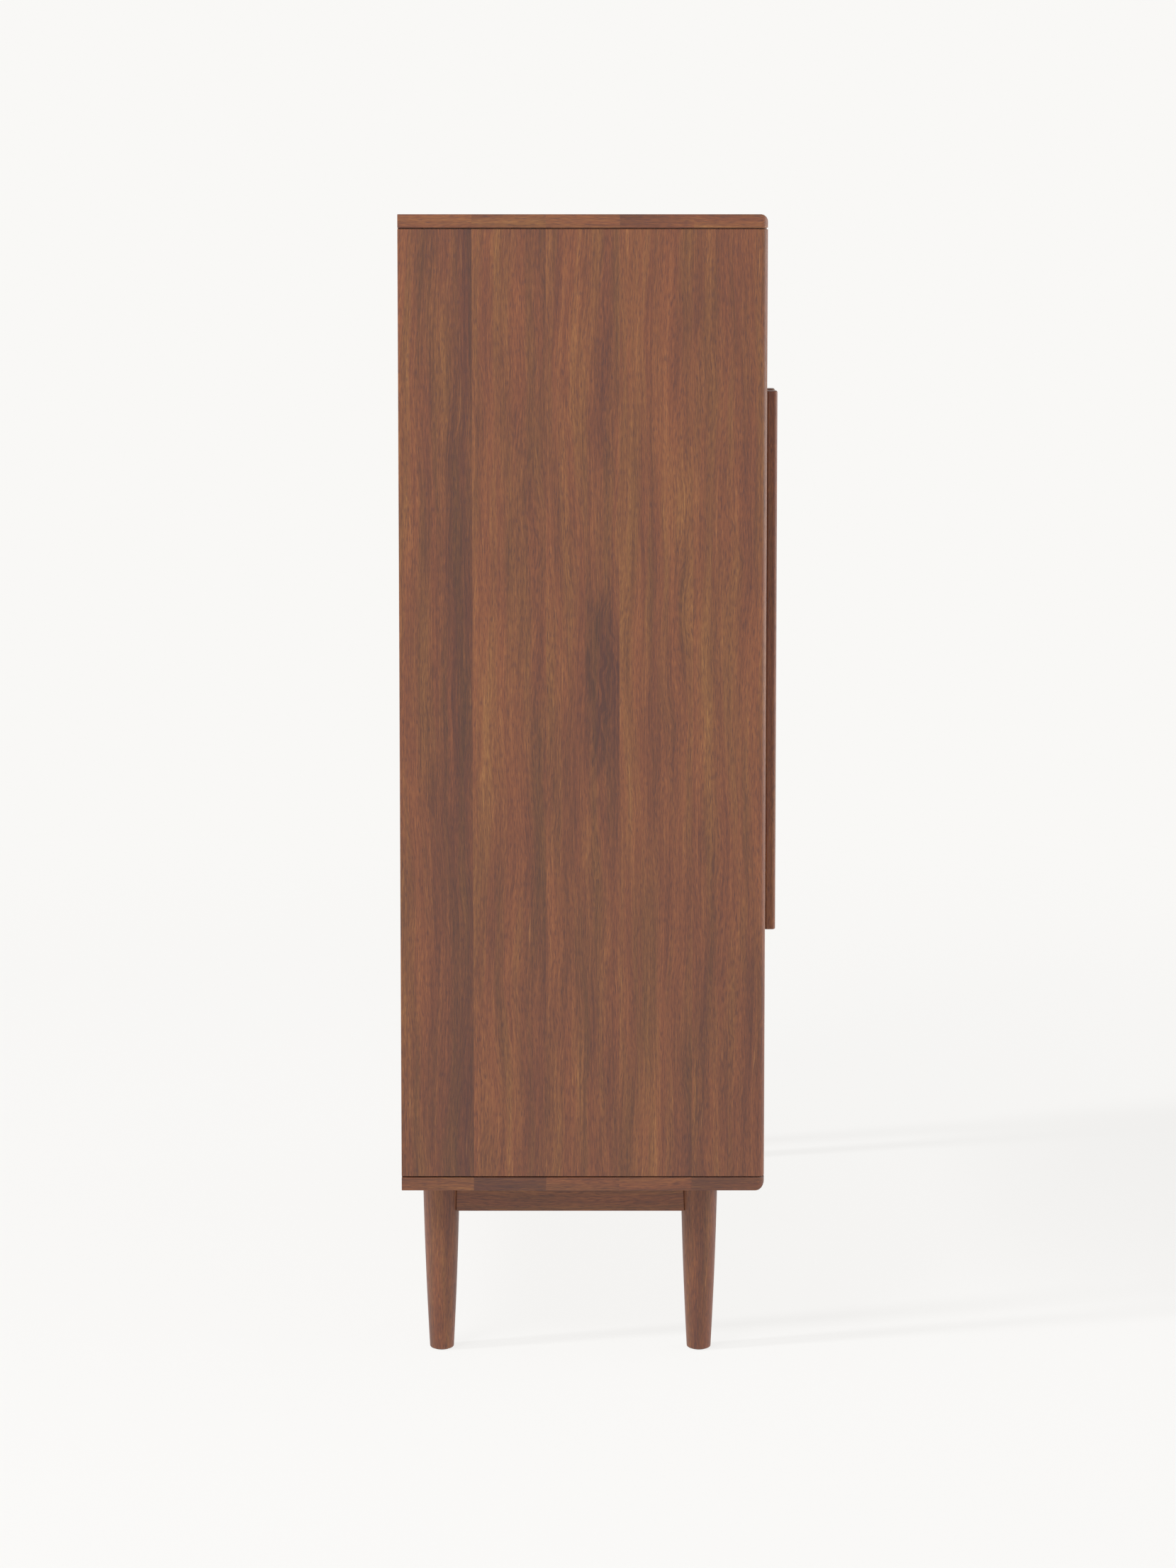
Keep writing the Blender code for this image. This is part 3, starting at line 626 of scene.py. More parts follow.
@dataclass(frozen=True)
class DarkFigure:
    """Dark wavy strands in one stave, long with the grain."""

    across: float
    along: float
    stave: float
    size: tuple[float, float, float] = (46.0, 0.0, 9.5)
    outline: Pattern = Pattern((75.0, 75.0, 14.0), 2.0, 1.6)
    fade: tuple[float, float] = (1.3, 0.1)
    curl: Pattern = Pattern((42.0, 42.0, 26.0), 1.0, 0.030)
    strands: Pattern = Pattern((210.0, 210.0, 9.0), 2.0, 0.40)
    strand_edge: tuple[float, float] = (0.40, 0.64)
    ground: float = 0.05
    streak_weight: float = 0.12

    def depth(
        self, graph: Graph, grain: Socket, bent: Socket, stave: Socket, streaks: Socket
    ) -> Socket:
        """How much darker the figure makes the wood.

        Its outline is the distance from its middle, longer with the grain, made ragged by noise.

        Args:
            graph: The material's nodes.
            grain: Place in the wood.
            bent: The same, bent as the grain is.
            stave: Count of staves from the board's edge.
            streaks: The wood's fine streaks, from 0 to 1.

        Returns:
            The tone to take away, 0 outside the figure.
        """
        from_middle = graph.moved(grain, (self.across, 0, self.along), "SUBTRACT")
        reach = graph.length(graph.scaled(from_middle, self.size))
        inside = graph.step(graph.total(reach, graph.swing(grain, self.outline)), *self.fade)
        in_stave = graph.math("COMPARE", graph.math("FLOOR", stave), self.stave)
        curl = graph.add("CombineXYZ", {"X": graph.swing(grain, self.curl)}).outputs[0]
        noise = graph.noise(graph.moved(bent, curl), self.strands)
        strands = graph.math("MULTIPLY", graph.step(noise, *self.strand_edge), self.strands.weight)
        fine = graph.math("MULTIPLY", streaks, self.streak_weight)
        depth = graph.total(self.ground, strands, fine)
        return graph.math("MULTIPLY", graph.math("MULTIPLY", inside, in_stave), depth)


@dataclass(frozen=True)
class Walnut:
    """Satin-lacquered walnut laid up from staves.

    It reads two attributes of the mesh: "grain" holds (across, through, along) in metres, and
    "stave" counts staves from the board's first edge. The tone runs from 0, darkest, to 1.
    """

    name: str
    lightness: float = 0.5
    stave_swing: float = 0.20
    lean_swing: float = 0.3
    stave_tones: tuple[float, ...] = ()
    stave_leans: tuple[float, ...] = ()
    dark_figure: DarkFigure | None = None
    roughness: float = 0.40
    specular: float = 0.46

    stave_shift: tuple[float, float, float] = (0.9, 0.9, 5.0)
    wander: Pattern = Pattern((16.0, 16.0, 3.6), 2.0, 0.030)
    ripple: Pattern = Pattern((80.0, 80.0, 30.0), 1.0, 0.0022)
    broad: Pattern = Pattern((26.0, 26.0, 3.4), 2.0, 0.66)
    bands: Pattern = Pattern((125.0, 125.0, 4.6), 2.0, 0.60)
    streaks: Pattern = Pattern((700.0, 700.0, 30.0), 1.0, 0.34)
    lines: Pattern = Pattern((1000.0, 1000.0, 13.0), 0.0, 0.40)
    fibres: Pattern = Pattern((1500.0, 1500.0, 120.0), 1.0, 0.74)

    hue: Pattern = Pattern((85.0, 85.0, 4.5), 2.0)
    hue_edge: tuple[float, float] = (0.34, 0.76)
    glints: Pattern = Pattern((480.0, 480.0, 13.0), 1.0, 0.55)
    glint_edge: tuple[float, float] = (0.70, 0.84)
    pores: Pattern = Pattern((1150.0, 1150.0, 125.0), 0.0, 0.46)
    pore_edge: tuple[float, float] = (0.54, 0.76)
    fibre_roughness: float = 0.10
    pore_roughness: float = 0.12
    bump_distance: float = 0.00006
    bump_strength: float = 0.5

    tone_stops: tuple[float, ...] = (0.0, 0.3, 0.52, 0.75, 1.0)
    red: tuple[Colour, ...] = (
        srgb(89, 55, 47),
        srgb(107, 65, 49),
        srgb(124, 74, 52),
        srgb(140, 86, 56),
        srgb(158, 104, 65),
    )
    olive: tuple[Colour, ...] = (
        srgb(85, 57, 45),
        srgb(103, 67, 47),
        srgb(121, 78, 51),
        srgb(138, 92, 56),
        srgb(163, 115, 68),
    )
    gold: Colour = srgb(172, 120, 74)
    pore_colour: Colour = srgb(78, 51, 50)

    def build(self) -> bpy.types.Material:
        """The material: staves, broad colour, growth bands, streaks, fibres, pores and a figure.

        Returns:
            The material.
        """
        graph = Graph(self.name)
        grain = graph.add("Attribute", attribute_name="grain").outputs["Vector"]
        stave = graph.add("Attribute", attribute_name="stave").outputs["Fac"]
        number = graph.math("FLOOR", stave)
        chance = graph.add("TexWhiteNoise", {"W": number}, noise_dimensions="1D")
        own = graph.moved(grain, graph.scaled(chance.outputs["Color"], self.stave_shift))
        sideways = graph.total(graph.swing(own, self.wander), graph.swing(own, self.ripple))
        bent = graph.moved(own, graph.add("CombineXYZ", {"X": sideways}).outputs[0])

        streaks = graph.noise(bent, self.streaks)
        fibres = graph.noise(bent, self.fibres)
        tone = graph.total(
            self.lightness,
            self.stave_tone(graph, stave, chance.outputs["Value"]),
            graph.swing(bent, self.broad),
            graph.swing(bent, self.bands),
            graph.centred(streaks, self.streaks.weight),
            graph.swing(bent, self.lines),
            graph.centred(fibres, self.fibres.weight),
        )
        if self.dark_figure:
            depth = self.dark_figure.depth(graph, grain, bent, stave, streaks)
            tone = graph.math("SUBTRACT", tone, depth)
        hue = graph.noise(graph.scaled(bent, (-1.0, 1.0, 1.0)), self.hue)
        colour = graph.mix(
            graph.step(hue, *self.hue_edge),
            graph.ramp(tone, list(zip(self.tone_stops, self.red))),
            graph.ramp(tone, list(zip(self.tone_stops, self.olive))),
        )
        glints = graph.step(graph.noise(bent, self.glints), *self.glint_edge)
        gilding = graph.math("MULTIPLY", glints, self.glints.weight)
        pores = graph.step(graph.noise(bent, self.pores), *self.pore_edge)
        darkening = graph.math("MULTIPLY", pores, self.pores.weight)
        colour = graph.mix(gilding, colour, self.gold)
        colour = graph.mix(darkening, colour, self.pore_colour)
        roughness = graph.total(
            self.roughness,
            graph.centred(fibres, self.fibre_roughness),
            graph.math("MULTIPLY", pores, self.pore_roughness),
        )
        surface = {
            "Base Color": colour,
            "Roughness": roughness,
            "Specular IOR Level": self.specular,
        }
        height = graph.math("SUBTRACT", fibres, pores)
        return graph.finish(surface, height, self.bump_distance, self.bump_strength)

    def stave_tone(self, graph: Graph, stave: Socket, chance: Socket) -> Socket:
        """Tone of the whole stave, with a lean from its one edge to the other.

        Args:
            graph: The material's nodes.
            stave: Count of staves from the board's edge.
            chance: A number from 0 to 1 for each stave, used where there are no lists.

        Returns:
            The tone to add.
        """
        place = graph.math("SUBTRACT", graph.math("FRACT", stave), 0.5)
        if self.stave_tones:
            tone = graph.math("SUBTRACT", self.listed(graph, stave, self.stave_tones), 0.5)
            lean = graph.centred(self.listed(graph, stave, self.stave_leans), 1.0)
        else:
            tone = graph.centred(chance, self.stave_swing)
            second_chance = graph.math("FRACT", graph.math("MULTIPLY", chance, 7.0))
            lean = graph.centred(second_chance, self.lean_swing)
        return graph.total(tone, graph.math("MULTIPLY", place, lean))

    def listed(self, graph: Graph, stave: Socket, values: Sequence[float]) -> Socket:
        """Reads the list at the stave's number.

        Args:
            graph: The material's nodes.
            stave: Count of staves from the board's edge.
            values: A value from 0 to 1 for each stave.

        Returns:
            The stave's value.
        """
        count = len(values)
        stops = [(number / count, (value, value, value)) for number, value in enumerate(values)]
        return graph.ramp(graph.math("DIVIDE", stave, float(count)), stops, held=True)


@dataclass(frozen=True)
class Metal:
    """Plated or brushed metal: fine wear in its roughness and a slight change of tone."""

    name: str
    light: Colour = srgb(206, 203, 197)
    deep: Colour = srgb(168, 164, 157)
    roughness: float = 0.27
    cloud: Pattern = Pattern((220.0, 220.0, 220.0), 3.0, 0.12)
    brush: Pattern = Pattern((260.0, 2600.0, 2600.0), 2.0, 0.10)
    bump_distance: float = 0.00002
    bump_strength: float = 0.4

    def build(self) -> bpy.types.Material:
        """Builds its nodes.

        Returns:
            The material.
        """
        graph = Graph(self.name)
        place = graph.add("TexCoord").outputs["Object"]
        cloud = graph.noise(place, self.cloud)
        brush = graph.noise(place, self.brush)
        wear = graph.centred(cloud, self.cloud.weight), graph.centred(brush, self.brush.weight)
        surface = {
            "Base Color": graph.mix(cloud, self.deep, self.light),
            "Metallic": 1.0,
            "Roughness": graph.total(self.roughness, *wear),
        }
        return graph.finish(surface, brush, self.bump_distance, self.bump_strength)


@dataclass(frozen=True)
class Plastic:
    """Moulded plastic with a fine spark-eroded grain."""

    name: str
    light: Colour
    deep: Colour
    roughness: float = 0.5
    cloud: Pattern = Pattern((60.0, 60.0, 60.0), 2.0)
    pimples: Pattern = Pattern((2400.0, 2400.0, 2400.0), 1.0, 0.15)
    bump_distance: float = 0.00004
    bump_strength: float = 0.5

    def build(self) -> bpy.types.Material:
        """Builds its nodes.

        Returns:
            The material.
        """
        graph = Graph(self.name)
        place = graph.add("TexCoord").outputs["Object"]
        cloud = graph.noise(place, self.cloud)
        pimples = graph.noise(place, self.pimples)
        surface = {
            "Base Color": graph.mix(cloud, self.deep, self.light),
            "Roughness": graph.total(self.roughness, graph.centred(pimples, self.pimples.weight)),
        }
        return graph.finish(surface, pimples, self.bump_distance, self.bump_strength)


class Finishes:
    """Every finish of the cabinet, each built once."""

    def __init__(self) -> None:
        """Builds the materials."""
        self.near_side = Walnut(
            "walnut_near_side",
            stave_tones=(0.54, 0.55, 0.51, 0.51, 0.39),
            stave_leans=(0.50, 0.55, 0.62, 0.78, 0.80),
            dark_figure=DarkFigure(across=0.170, along=0.722, stave=2.0),
        ).build()
        self.panel = Walnut("walnut_panel").build()
        self.top = Walnut("walnut_top", lightness=0.52, stave_swing=0.10).build()
        self.bottom = Walnut(
            "walnut_bottom",
            stave_tones=(0.40, 0.52, 0.52, 0.26, 0.52),
            stave_leans=(0.50, 0.50, 0.50, 0.50, 0.50),
        ).build()
        self.leg = Walnut("walnut_leg", lightness=0.45, stave_swing=0.0).build()
        self.rail = Walnut("walnut_rail", lightness=0.50, stave_swing=0.06).build()
        self.handle = Walnut(
            "walnut_handle", lightness=0.48, stave_swing=0.06, roughness=0.36
        ).build()
        self.back = Walnut(
            "walnut_back", lightness=0.34, stave_swing=0.05, roughness=0.55
        ).build()
        self.steel = Metal("plated_steel").build()
        self.brown_plastic = Plastic("brown_plastic", srgb(74, 52, 42), srgb(58, 41, 34)).build()
        self.black_plastic = Plastic(
            "black_plastic", srgb(44, 42, 41), srgb(30, 29, 28), 0.55
        ).build()


# ------------------------------------------------------------------ pieces


@dataclass(frozen=True)
class Grain:
    """How wood lies in a piece.

    Fibres run along one axis and staves lie side by side on another. On a banded board the ends
    are covered with an edge band, whose fibres run across the staves; it covers every face whose
    normal leans towards the board's length by more than band_reach.
    """

    along: Axis
    across: Axis
    start: float = 0.0
    stave_width: float = STAVE_WIDTH
    seed: int = 0
    banded: bool = False
    band_reach: float = 0.3

    def apply(self, mesh: bpy.types.Mesh) -> None:
        """Writes the grain and stave attributes, worked out from each face corner's place.

        Args:
            mesh: The mesh to write to.
        """
        corner_count = len(mesh.loops)
        vertex = np.empty(corner_count, np.int32)
        mesh.loops.foreach_get("vertex_index", vertex)
        places = np.empty(len(mesh.vertices) * 3)
        mesh.vertices.foreach_get("co", places)
        corner = places.reshape(-1, 3)[vertex]
        length_axis, across_axis = self.along.along, self.across.along
        through_axis = 3 - length_axis - across_axis
        across = corner[:, across_axis] - self.start
        grain = np.stack([across, corner[:, through_axis], corner[:, length_axis]], axis=1)
        if self.banded:
            face_normals = np.empty(len(mesh.polygons) * 3)
            mesh.polygons.foreach_get("normal", face_normals)
            face_sizes = np.empty(len(mesh.polygons), np.int32)
            mesh.polygons.foreach_get("loop_total", face_sizes)
            on_end = np.abs(face_normals.reshape(-1, 3)[:, length_axis]) > self.band_reach
            on_end = np.repeat(on_end, face_sizes)
            grain[on_end] = grain[on_end][:, [1, 2, 0]]
        grain += self.seed * np.array(SEED_MOVE)
        vector = mesh.attributes.new("grain", "FLOAT_VECTOR", "CORNER")
        vector.data.foreach_set("vector", grain.astype(np.float32).ravel())
        count = mesh.attributes.new("stave", "FLOAT", "CORNER")
        staves = across / self.stave_width + SEED_STAVES * self.seed
        count.data.foreach_set("value", staves.astype(np.float32))


def mesh_of(name: str, shells: Sequence[Shell]) -> bpy.types.Mesh:
    """One mesh of several closed shells, with their exact normals.

    Ring i and the next one are joined by quads (i, j), (i, j+1), (i+1, j+1), (i+1, j), and the
    first and last rings are closed by one flat face each.

    Args:
        name: The mesh's name.
        shells: Its closed surfaces.

    Returns:
        The mesh.
    """
    faces: list[list[int]] = []
    first = 0
    for shell in shells:
        rings, around = shell.points.shape[:2]
        index = first + np.arange(rings * around).reshape(rings, around)
        after = np.roll(index, -1, axis=1)
        quads = np.stack([index[:-1], after[:-1], after[1:], index[1:]], axis=-1)
        faces += quads.reshape(-1, 4).tolist()
        faces += [index[0, ::-1].tolist(), index[-1].tolist()]
        first += rings * around
    points = np.concatenate([shell.points.reshape(-1, 3) for shell in shells])
    normals = np.concatenate([shell.normals.reshape(-1, 3) for shell in shells])
    mesh = bpy.data.meshes.new(name)
    mesh.from_pydata(points.tolist(), [], faces)
    mesh.polygons.foreach_set("use_smooth", np.ones(len(mesh.polygons), bool))
    mesh.normals_split_custom_set_from_vertices(unit(normals).tolist())
    mesh.update()
    return mesh


def add_piece(
    name: str,
    shells: Sequence[Shell],
    material: bpy.types.Material,
    body: str,
    stands_for: Sequence[str] = (),
    grain: Grain | None = None,
) -> bpy.types.Object:
    """Adds a finished piece to the scene.

    Args:
        name: The piece's name.
        shells: Its closed surfaces.
        material: Its finish.
        body: The CAD body that it rides on.
        stands_for: CAD nodes that it replaces.
        grain: How its wood lies, for a wooden piece.

    Returns:
        The object.
    """
    mesh = mesh_of(name, shells)
    if grain is not None:
        grain.apply(mesh)
    mesh.materials.append(material)
    piece = bpy.data.objects.new(name, mesh)
    bpy.context.scene.collection.objects.link(piece)
    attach(piece, body)
    if stands_for:
        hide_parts(*stands_for)
    log.info("%s: %d faces, rides on %s", name, len(mesh.polygons), body)
    return piece


@dataclass(frozen=True)
class ScrewHead:
    """Countersunk screw head with a dished recess, seen from above its own origin."""

    radius: float = 0.0029
    rise: float = 0.0003
    hidden: float = 0.0015
    edge: float = 0.0003
    recess_radius: float = 0.0013
    recess_depth: float = 0.0009
    recess_taper: float = 0.5
    fine_edge: float = 0.0002
    floor_edge: float = 0.0001
    under_centre: float = 0.0006
    floor_centre: float = 0.0002

    def shell(self, centre: Vector, axis: Axis, sign: int) -> Shell:
        """The head, turned from its section.

        Args:
            centre: Where it sits, on the face that it is sunk in.
            axis: The axis that it faces along.
            sign: +1 or -1, the way that it faces.

        Returns:
            The closed shell.
        """
        floor = self.rise - self.recess_depth
        profile = rounded_path(
            [
                (self.under_centre, -self.hidden, 0.0),
                (self.radius, -self.hidden, self.fine_edge),
                (self.radius, self.rise, self.edge),
                (self.recess_radius, self.rise, self.fine_edge),
                (self.recess_radius * self.recess_taper, floor, self.floor_edge),
                (self.floor_centre, floor, 0.0),
            ],
            steps=3,
        )
        upright = turned(profile, Vector((0, 0, 0)), SMALL_TURNED_SIDES)
        return reoriented(upright, centre, axis, sign)


@dataclass
class Carcass:
    """Top, bottom, sides, divider and back."""

    finishes: Finishes
    front_round: float = 0.0080
    bottom_round: float = 0.010
    groove_height: float = 0.0015
    groove_depth: float = 0.003
    groove_front_depth: float = 0.0012
    rebate_width: float = 0.009
    inner_edge: float = 0.001
    tongue_edge: float = 0.0002
    seating: float = 0.00005
    divider_edge: float = 0.0008
    back_edge: float = 0.0004
    back_leaf_width: float = 0.18

    def horizontal_board(
        self, node: str, rounded_end: int, edge: float, material: bpy.types.Material
    ) -> None:
        """Top or bottom panel: rounded front corners in plan, and one long front edge rounded.

        Args:
            node: The CAD node.
            rounded_end: +1 if its upper front edge is the rounded one, -1 if it is the lower.
            edge: Radius of that edge.
            material: Its finish.
        """
        low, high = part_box(node)
        section = rounded_outline(
            [
                (low.y, low.z, edge if rounded_end < 0 else ARRIS),
                (high.y, low.z, ARRIS),
                (high.y, high.z, ARRIS),
                (low.y, high.z, edge if rounded_end > 0 else ARRIS),
            ],
            steps=10,
        )
        board = round_cornered_board(section, low.x, high.x, self.front_round)
        grain = Grain(Axis.X, Axis.Y, low.y, banded=True)
        add_piece(node + "_veneered", [board], material, "root", [node], grain)

    def side_panel(self, node: str, hand: int, material: bpy.types.Material, seed: int) -> None:
        """Side panel: rounded front edge, back rebate, and tongues behind its shadow grooves.

        Args:
            node: The CAD node.
            hand: -1 for the left panel and +1 for the right one.
            material: Its finish.
            seed: Chooses its grain.
        """
        low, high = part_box(node)
        back_low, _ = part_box("back_panel")
        inner, outer = min(abs(low.x), abs(high.x)), max(abs(low.x), abs(high.x))

        def plan(behind: float, behind_front: float, within: float) -> tuple[Array, Array]:
            """The panel in plan.

            Args:
                behind: How far its outer side is set in.
                behind_front: How far its front is set in.
                within: How far its other sides are set in.

            Returns:
                Points and normals.
            """
            rebate_x, rebate_y = inner + self.rebate_width + within, back_low.y - within
            front_y, back_y = low.y + behind_front, high.y - within
            corners = [
                (inner + within, front_y, self.inner_edge),
                (outer - behind, front_y, self.front_round - behind),
                (outer - behind, back_y, ARRIS),
                (rebate_x, back_y, ARRIS),
                (rebate_x, rebate_y, ARRIS),
                (inner + within, rebate_y, ARRIS),
            ]
            return rounded_outline(mirrored(corners, hand), steps=8)

        floor_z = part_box("bottom_panel")[1].z
        ceiling_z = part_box("top_panel")[0].z
        groove = self.groove_height
        tongue = plan(self.groove_depth, self.groove_front_depth, self.seating)
        spans = (
            (floor_z + self.seating, floor_z + 2 * groove),
            (ceiling_z - 2 * groove, ceiling_z - self.seating),
        )
        shells = [swept(plan(0.0, 0.0, 0.0), floor_z + groove, ceiling_z - groove, Axis.Z)]
        edge = self.tongue_edge
        shells += [swept(tongue, start, end, Axis.Z, edge, edge) for start, end in spans]
        grain = Grain(Axis.Z, Axis.Y, low.y, seed=seed)
        add_piece(node + "_veneered", shells, material, "root", [node], grain)

    def build(self) -> None:
        """Builds every board of the carcass."""
        finishes = self.finishes
        self.horizontal_board("top_panel", 1, self.front_round, finishes.top)
        self.horizontal_board("bottom_panel", -1, self.bottom_round, finishes.bottom)
        self.side_panel("side_panel_left", -1, finishes.near_side, 0)
        self.side_panel("side_panel_right", 1, finishes.panel, 3)

        node = "centre_divider"
        low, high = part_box(node)
        divider = box_shell(low, high, self.divider_edge)
        grain = Grain(Axis.Z, Axis.Y, low.y, seed=4)
        add_piece(
            node + "_veneered", [divider], finishes.panel, "root", [node], grain
        )
        node = "back_panel"
        low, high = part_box(node)
        back = box_shell(low, high, self.back_edge)
        grain = Grain(Axis.Z, Axis.X, low.x, self.back_leaf_width, 5)
        add_piece(node + "_veneered", [back], finishes.back, "root", [node], grain)


@dataclass
class ShelfBay:
    """The shelves of one bay and the bent wires that carry them."""

    bay: str
    finishes: Finishes
    first_seed: int
    shelf_count: int = 4
    stave_width: float = 0.087
    front_edge: float = 0.0015
    back_edge: float = 0.00027
    groove_height: float = 0.0034
    groove_depth: float = 0.0065
    groove_edge: float = 0.0003
    lipping_depth: float = 0.014
    lipping_joint: float = 0.0001
    joint_edge: float = 0.0001
    lipping_back_edge: float = 0.0002
    lipping_end_edge: float = 0.00018
    bend_radius: float = 0.003

    def shelf(self, node: str, seed: int) -> None:
        """A shelf: a grooved board with a solid lipping on its front edge.

        Args:
            node: The CAD node.
            seed: Chooses its grain.
        """
        low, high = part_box(node)
        middle = (low.z + high.z) / 2
        half, depth = self.groove_height / 2, self.groove_depth
        fine = self.groove_edge
        corners = [
            (low.z, low.x, ARRIS),
            (middle - half, low.x, fine),
            (middle - half, low.x + depth, fine),
            (middle + half, low.x + depth, fine),
            (middle + half, low.x, fine),
            (high.z, low.x, ARRIS),
            (high.z, high.x, ARRIS),
            (middle + half, high.x, fine),
            (middle + half, high.x - depth, fine),
            (middle - half, high.x - depth, fine),
            (middle - half, high.x, fine),
            (low.z, high.x, ARRIS),
        ]
        joint_y = low.y + self.lipping_depth
        outline = rounded_outline(list(reversed(corners)), steps=2)
        start_y = joint_y + self.lipping_joint
        board = swept(outline, start_y, high.y, Axis.Y, self.joint_edge, self.back_edge, steps=2)
        lipping_outline = rounded_outline(
            [
                (low.y, low.z, self.front_edge),
                (joint_y, low.z, self.lipping_back_edge),
                (joint_y, high.z, self.lipping_back_edge),
                (low.y, high.z, self.front_edge),
            ]
        )
        end_edge = self.lipping_end_edge
        lipping = swept(lipping_outline, low.x, high.x, Axis.X, end_edge, end_edge)
        grain = Grain(Axis.X, Axis.Y, low.y, self.stave_width, seed)
        pieces, finish = [board, lipping], self.finishes.panel
        add_piece(node + "_veneered", pieces, finish, "root", [node], grain)

    def wire(self, node: str) -> None:
        """A wire support: straight along its board, with both ends bent into it.

        Args:
            node: The CAD node.
        """
        low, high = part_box(node)
        radius = (high.z - low.z) / 2
        into_bay = 1 if node.endswith("left") else -1
        run_x = high.x - radius if into_bay > 0 else low.x + radius
        end_x = low.x if into_bay > 0 else high.x
        front, back = low.y + radius, high.y - radius
        corners = [
            (end_x, front, 0.0),
            (run_x, front, self.bend_radius),
            (run_x, back, self.bend_radius),
            (end_x, back, 0.0),
        ]
        shell = tube(rounded_path(corners, steps=8), (low.z + high.z) / 2, radius)
        add_piece(node + "_bent", [shell], self.finishes.steel, "root", [node])

    def build(self) -> None:
        """Builds the bay's shelves and wires."""
        for number in range(self.shelf_count):
            node = f"{self.bay}_shelf_{number + 1}"
            self.shelf(node, self.first_seed + number)
            self.wire(node + "_wire_left")
            self.wire(node + "_wire_right")


@dataclass
class PivotHinge:
    """One pivot hinge: a leaf in the door's edge and a leaf with a pin on the carcass."""

    side: str
    hand: int
    end: str
    pivot: Vector
    finishes: Finishes
    round_share: float = 0.998
    square_corner: float = 0.0008
    edge: float = 0.0002
    screw_places: tuple[float, float] = (0.017, 0.033)
    screw: ScrewHead = ScrewHead(radius=0.0026, rise=0.0001)
    pin_radius: float = 0.002
    pin_tip: float = 0.0003
    shoulder_radius: float = 0.0038
    shoulder_height: float = 0.0005
    fine_edge: float = 0.0001
    root_edge: float = 0.00005
    centre_gap: float = 0.0004

    def leaf(self, on_door: bool, body: str) -> None:
        """A leaf with its two screws, and on the carcass leaf the pin and its shoulder.

        Args:
            on_door: Whether it is the door's leaf or the carcass's.
            body: The CAD body that it rides on.
        """
        door_node = f"{self.side}_{self.end}_hinge_door_leaf"
        node = door_node if on_door else f"{self.side}_{self.end}_hinge_carcass_leaf"
        low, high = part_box(node)
        door_low, door_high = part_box(door_node)
        thickness = door_high.z - door_low.z
        up = 1 if self.end == "top" else -1
        if on_door:
            face_z, plate_low = (high.z if up > 0 else low.z), low.z
        else:
            face_z = high.z - thickness if up > 0 else low.z + thickness
            plate_low = high.z - thickness if up > 0 else low.z
        half = (high.y - low.y) / 2
        length = (high.x - low.x) - half
        round_end = half * self.round_share
        corners = [
            (-half, -half, round_end),
            (length, -half, self.square_corner),
            (length, half, self.square_corner),
            (-half, half, round_end),
        ]
        points, normals = rounded_outline(mirrored(corners, -self.hand), steps=12)
        outline = points + np.array(self.pivot[:2]), normals
        plate_high = plate_low + thickness
        plate = swept(outline, plate_low, plate_high, Axis.Z, self.edge, self.edge, steps=3)
        facing = up if on_door else -up
        shells = [plate]
        for place in self.screw_places:
            centre = Vector((self.pivot.x - self.hand * place, self.pivot.y, face_z))
            shells.append(self.screw.shell(centre, Axis.Z, facing))
        if not on_door:
            centre = Vector((self.pivot.x, self.pivot.y, face_z))
            pin = self.pin((high.z - low.z) - thickness)
            shells.append(reoriented(pin, centre, Axis.Z, facing))
        add_piece(node + "_plated", shells, self.finishes.steel, body, [node])

    def pin(self, length: float) -> Shell:
        """The pin on its shoulder, upright round the origin.

        Args:
            length: How far its tip stands from the leaf.

        Returns:
            The closed shell.
        """
        profile = rounded_path(
            [
                (self.centre_gap, 0.0, 0.0),
                (self.shoulder_radius, 0.0, self.fine_edge),
                (self.shoulder_radius, self.shoulder_height, self.fine_edge),
                (self.pin_radius, self.shoulder_height, self.root_edge),
                (self.pin_radius, length, self.pin_tip),
                (self.centre_gap, length, 0.0),
            ],
            steps=3,
        )
        return turned(profile, Vector((0, 0, 0)), SMALL_TURNED_SIDES)


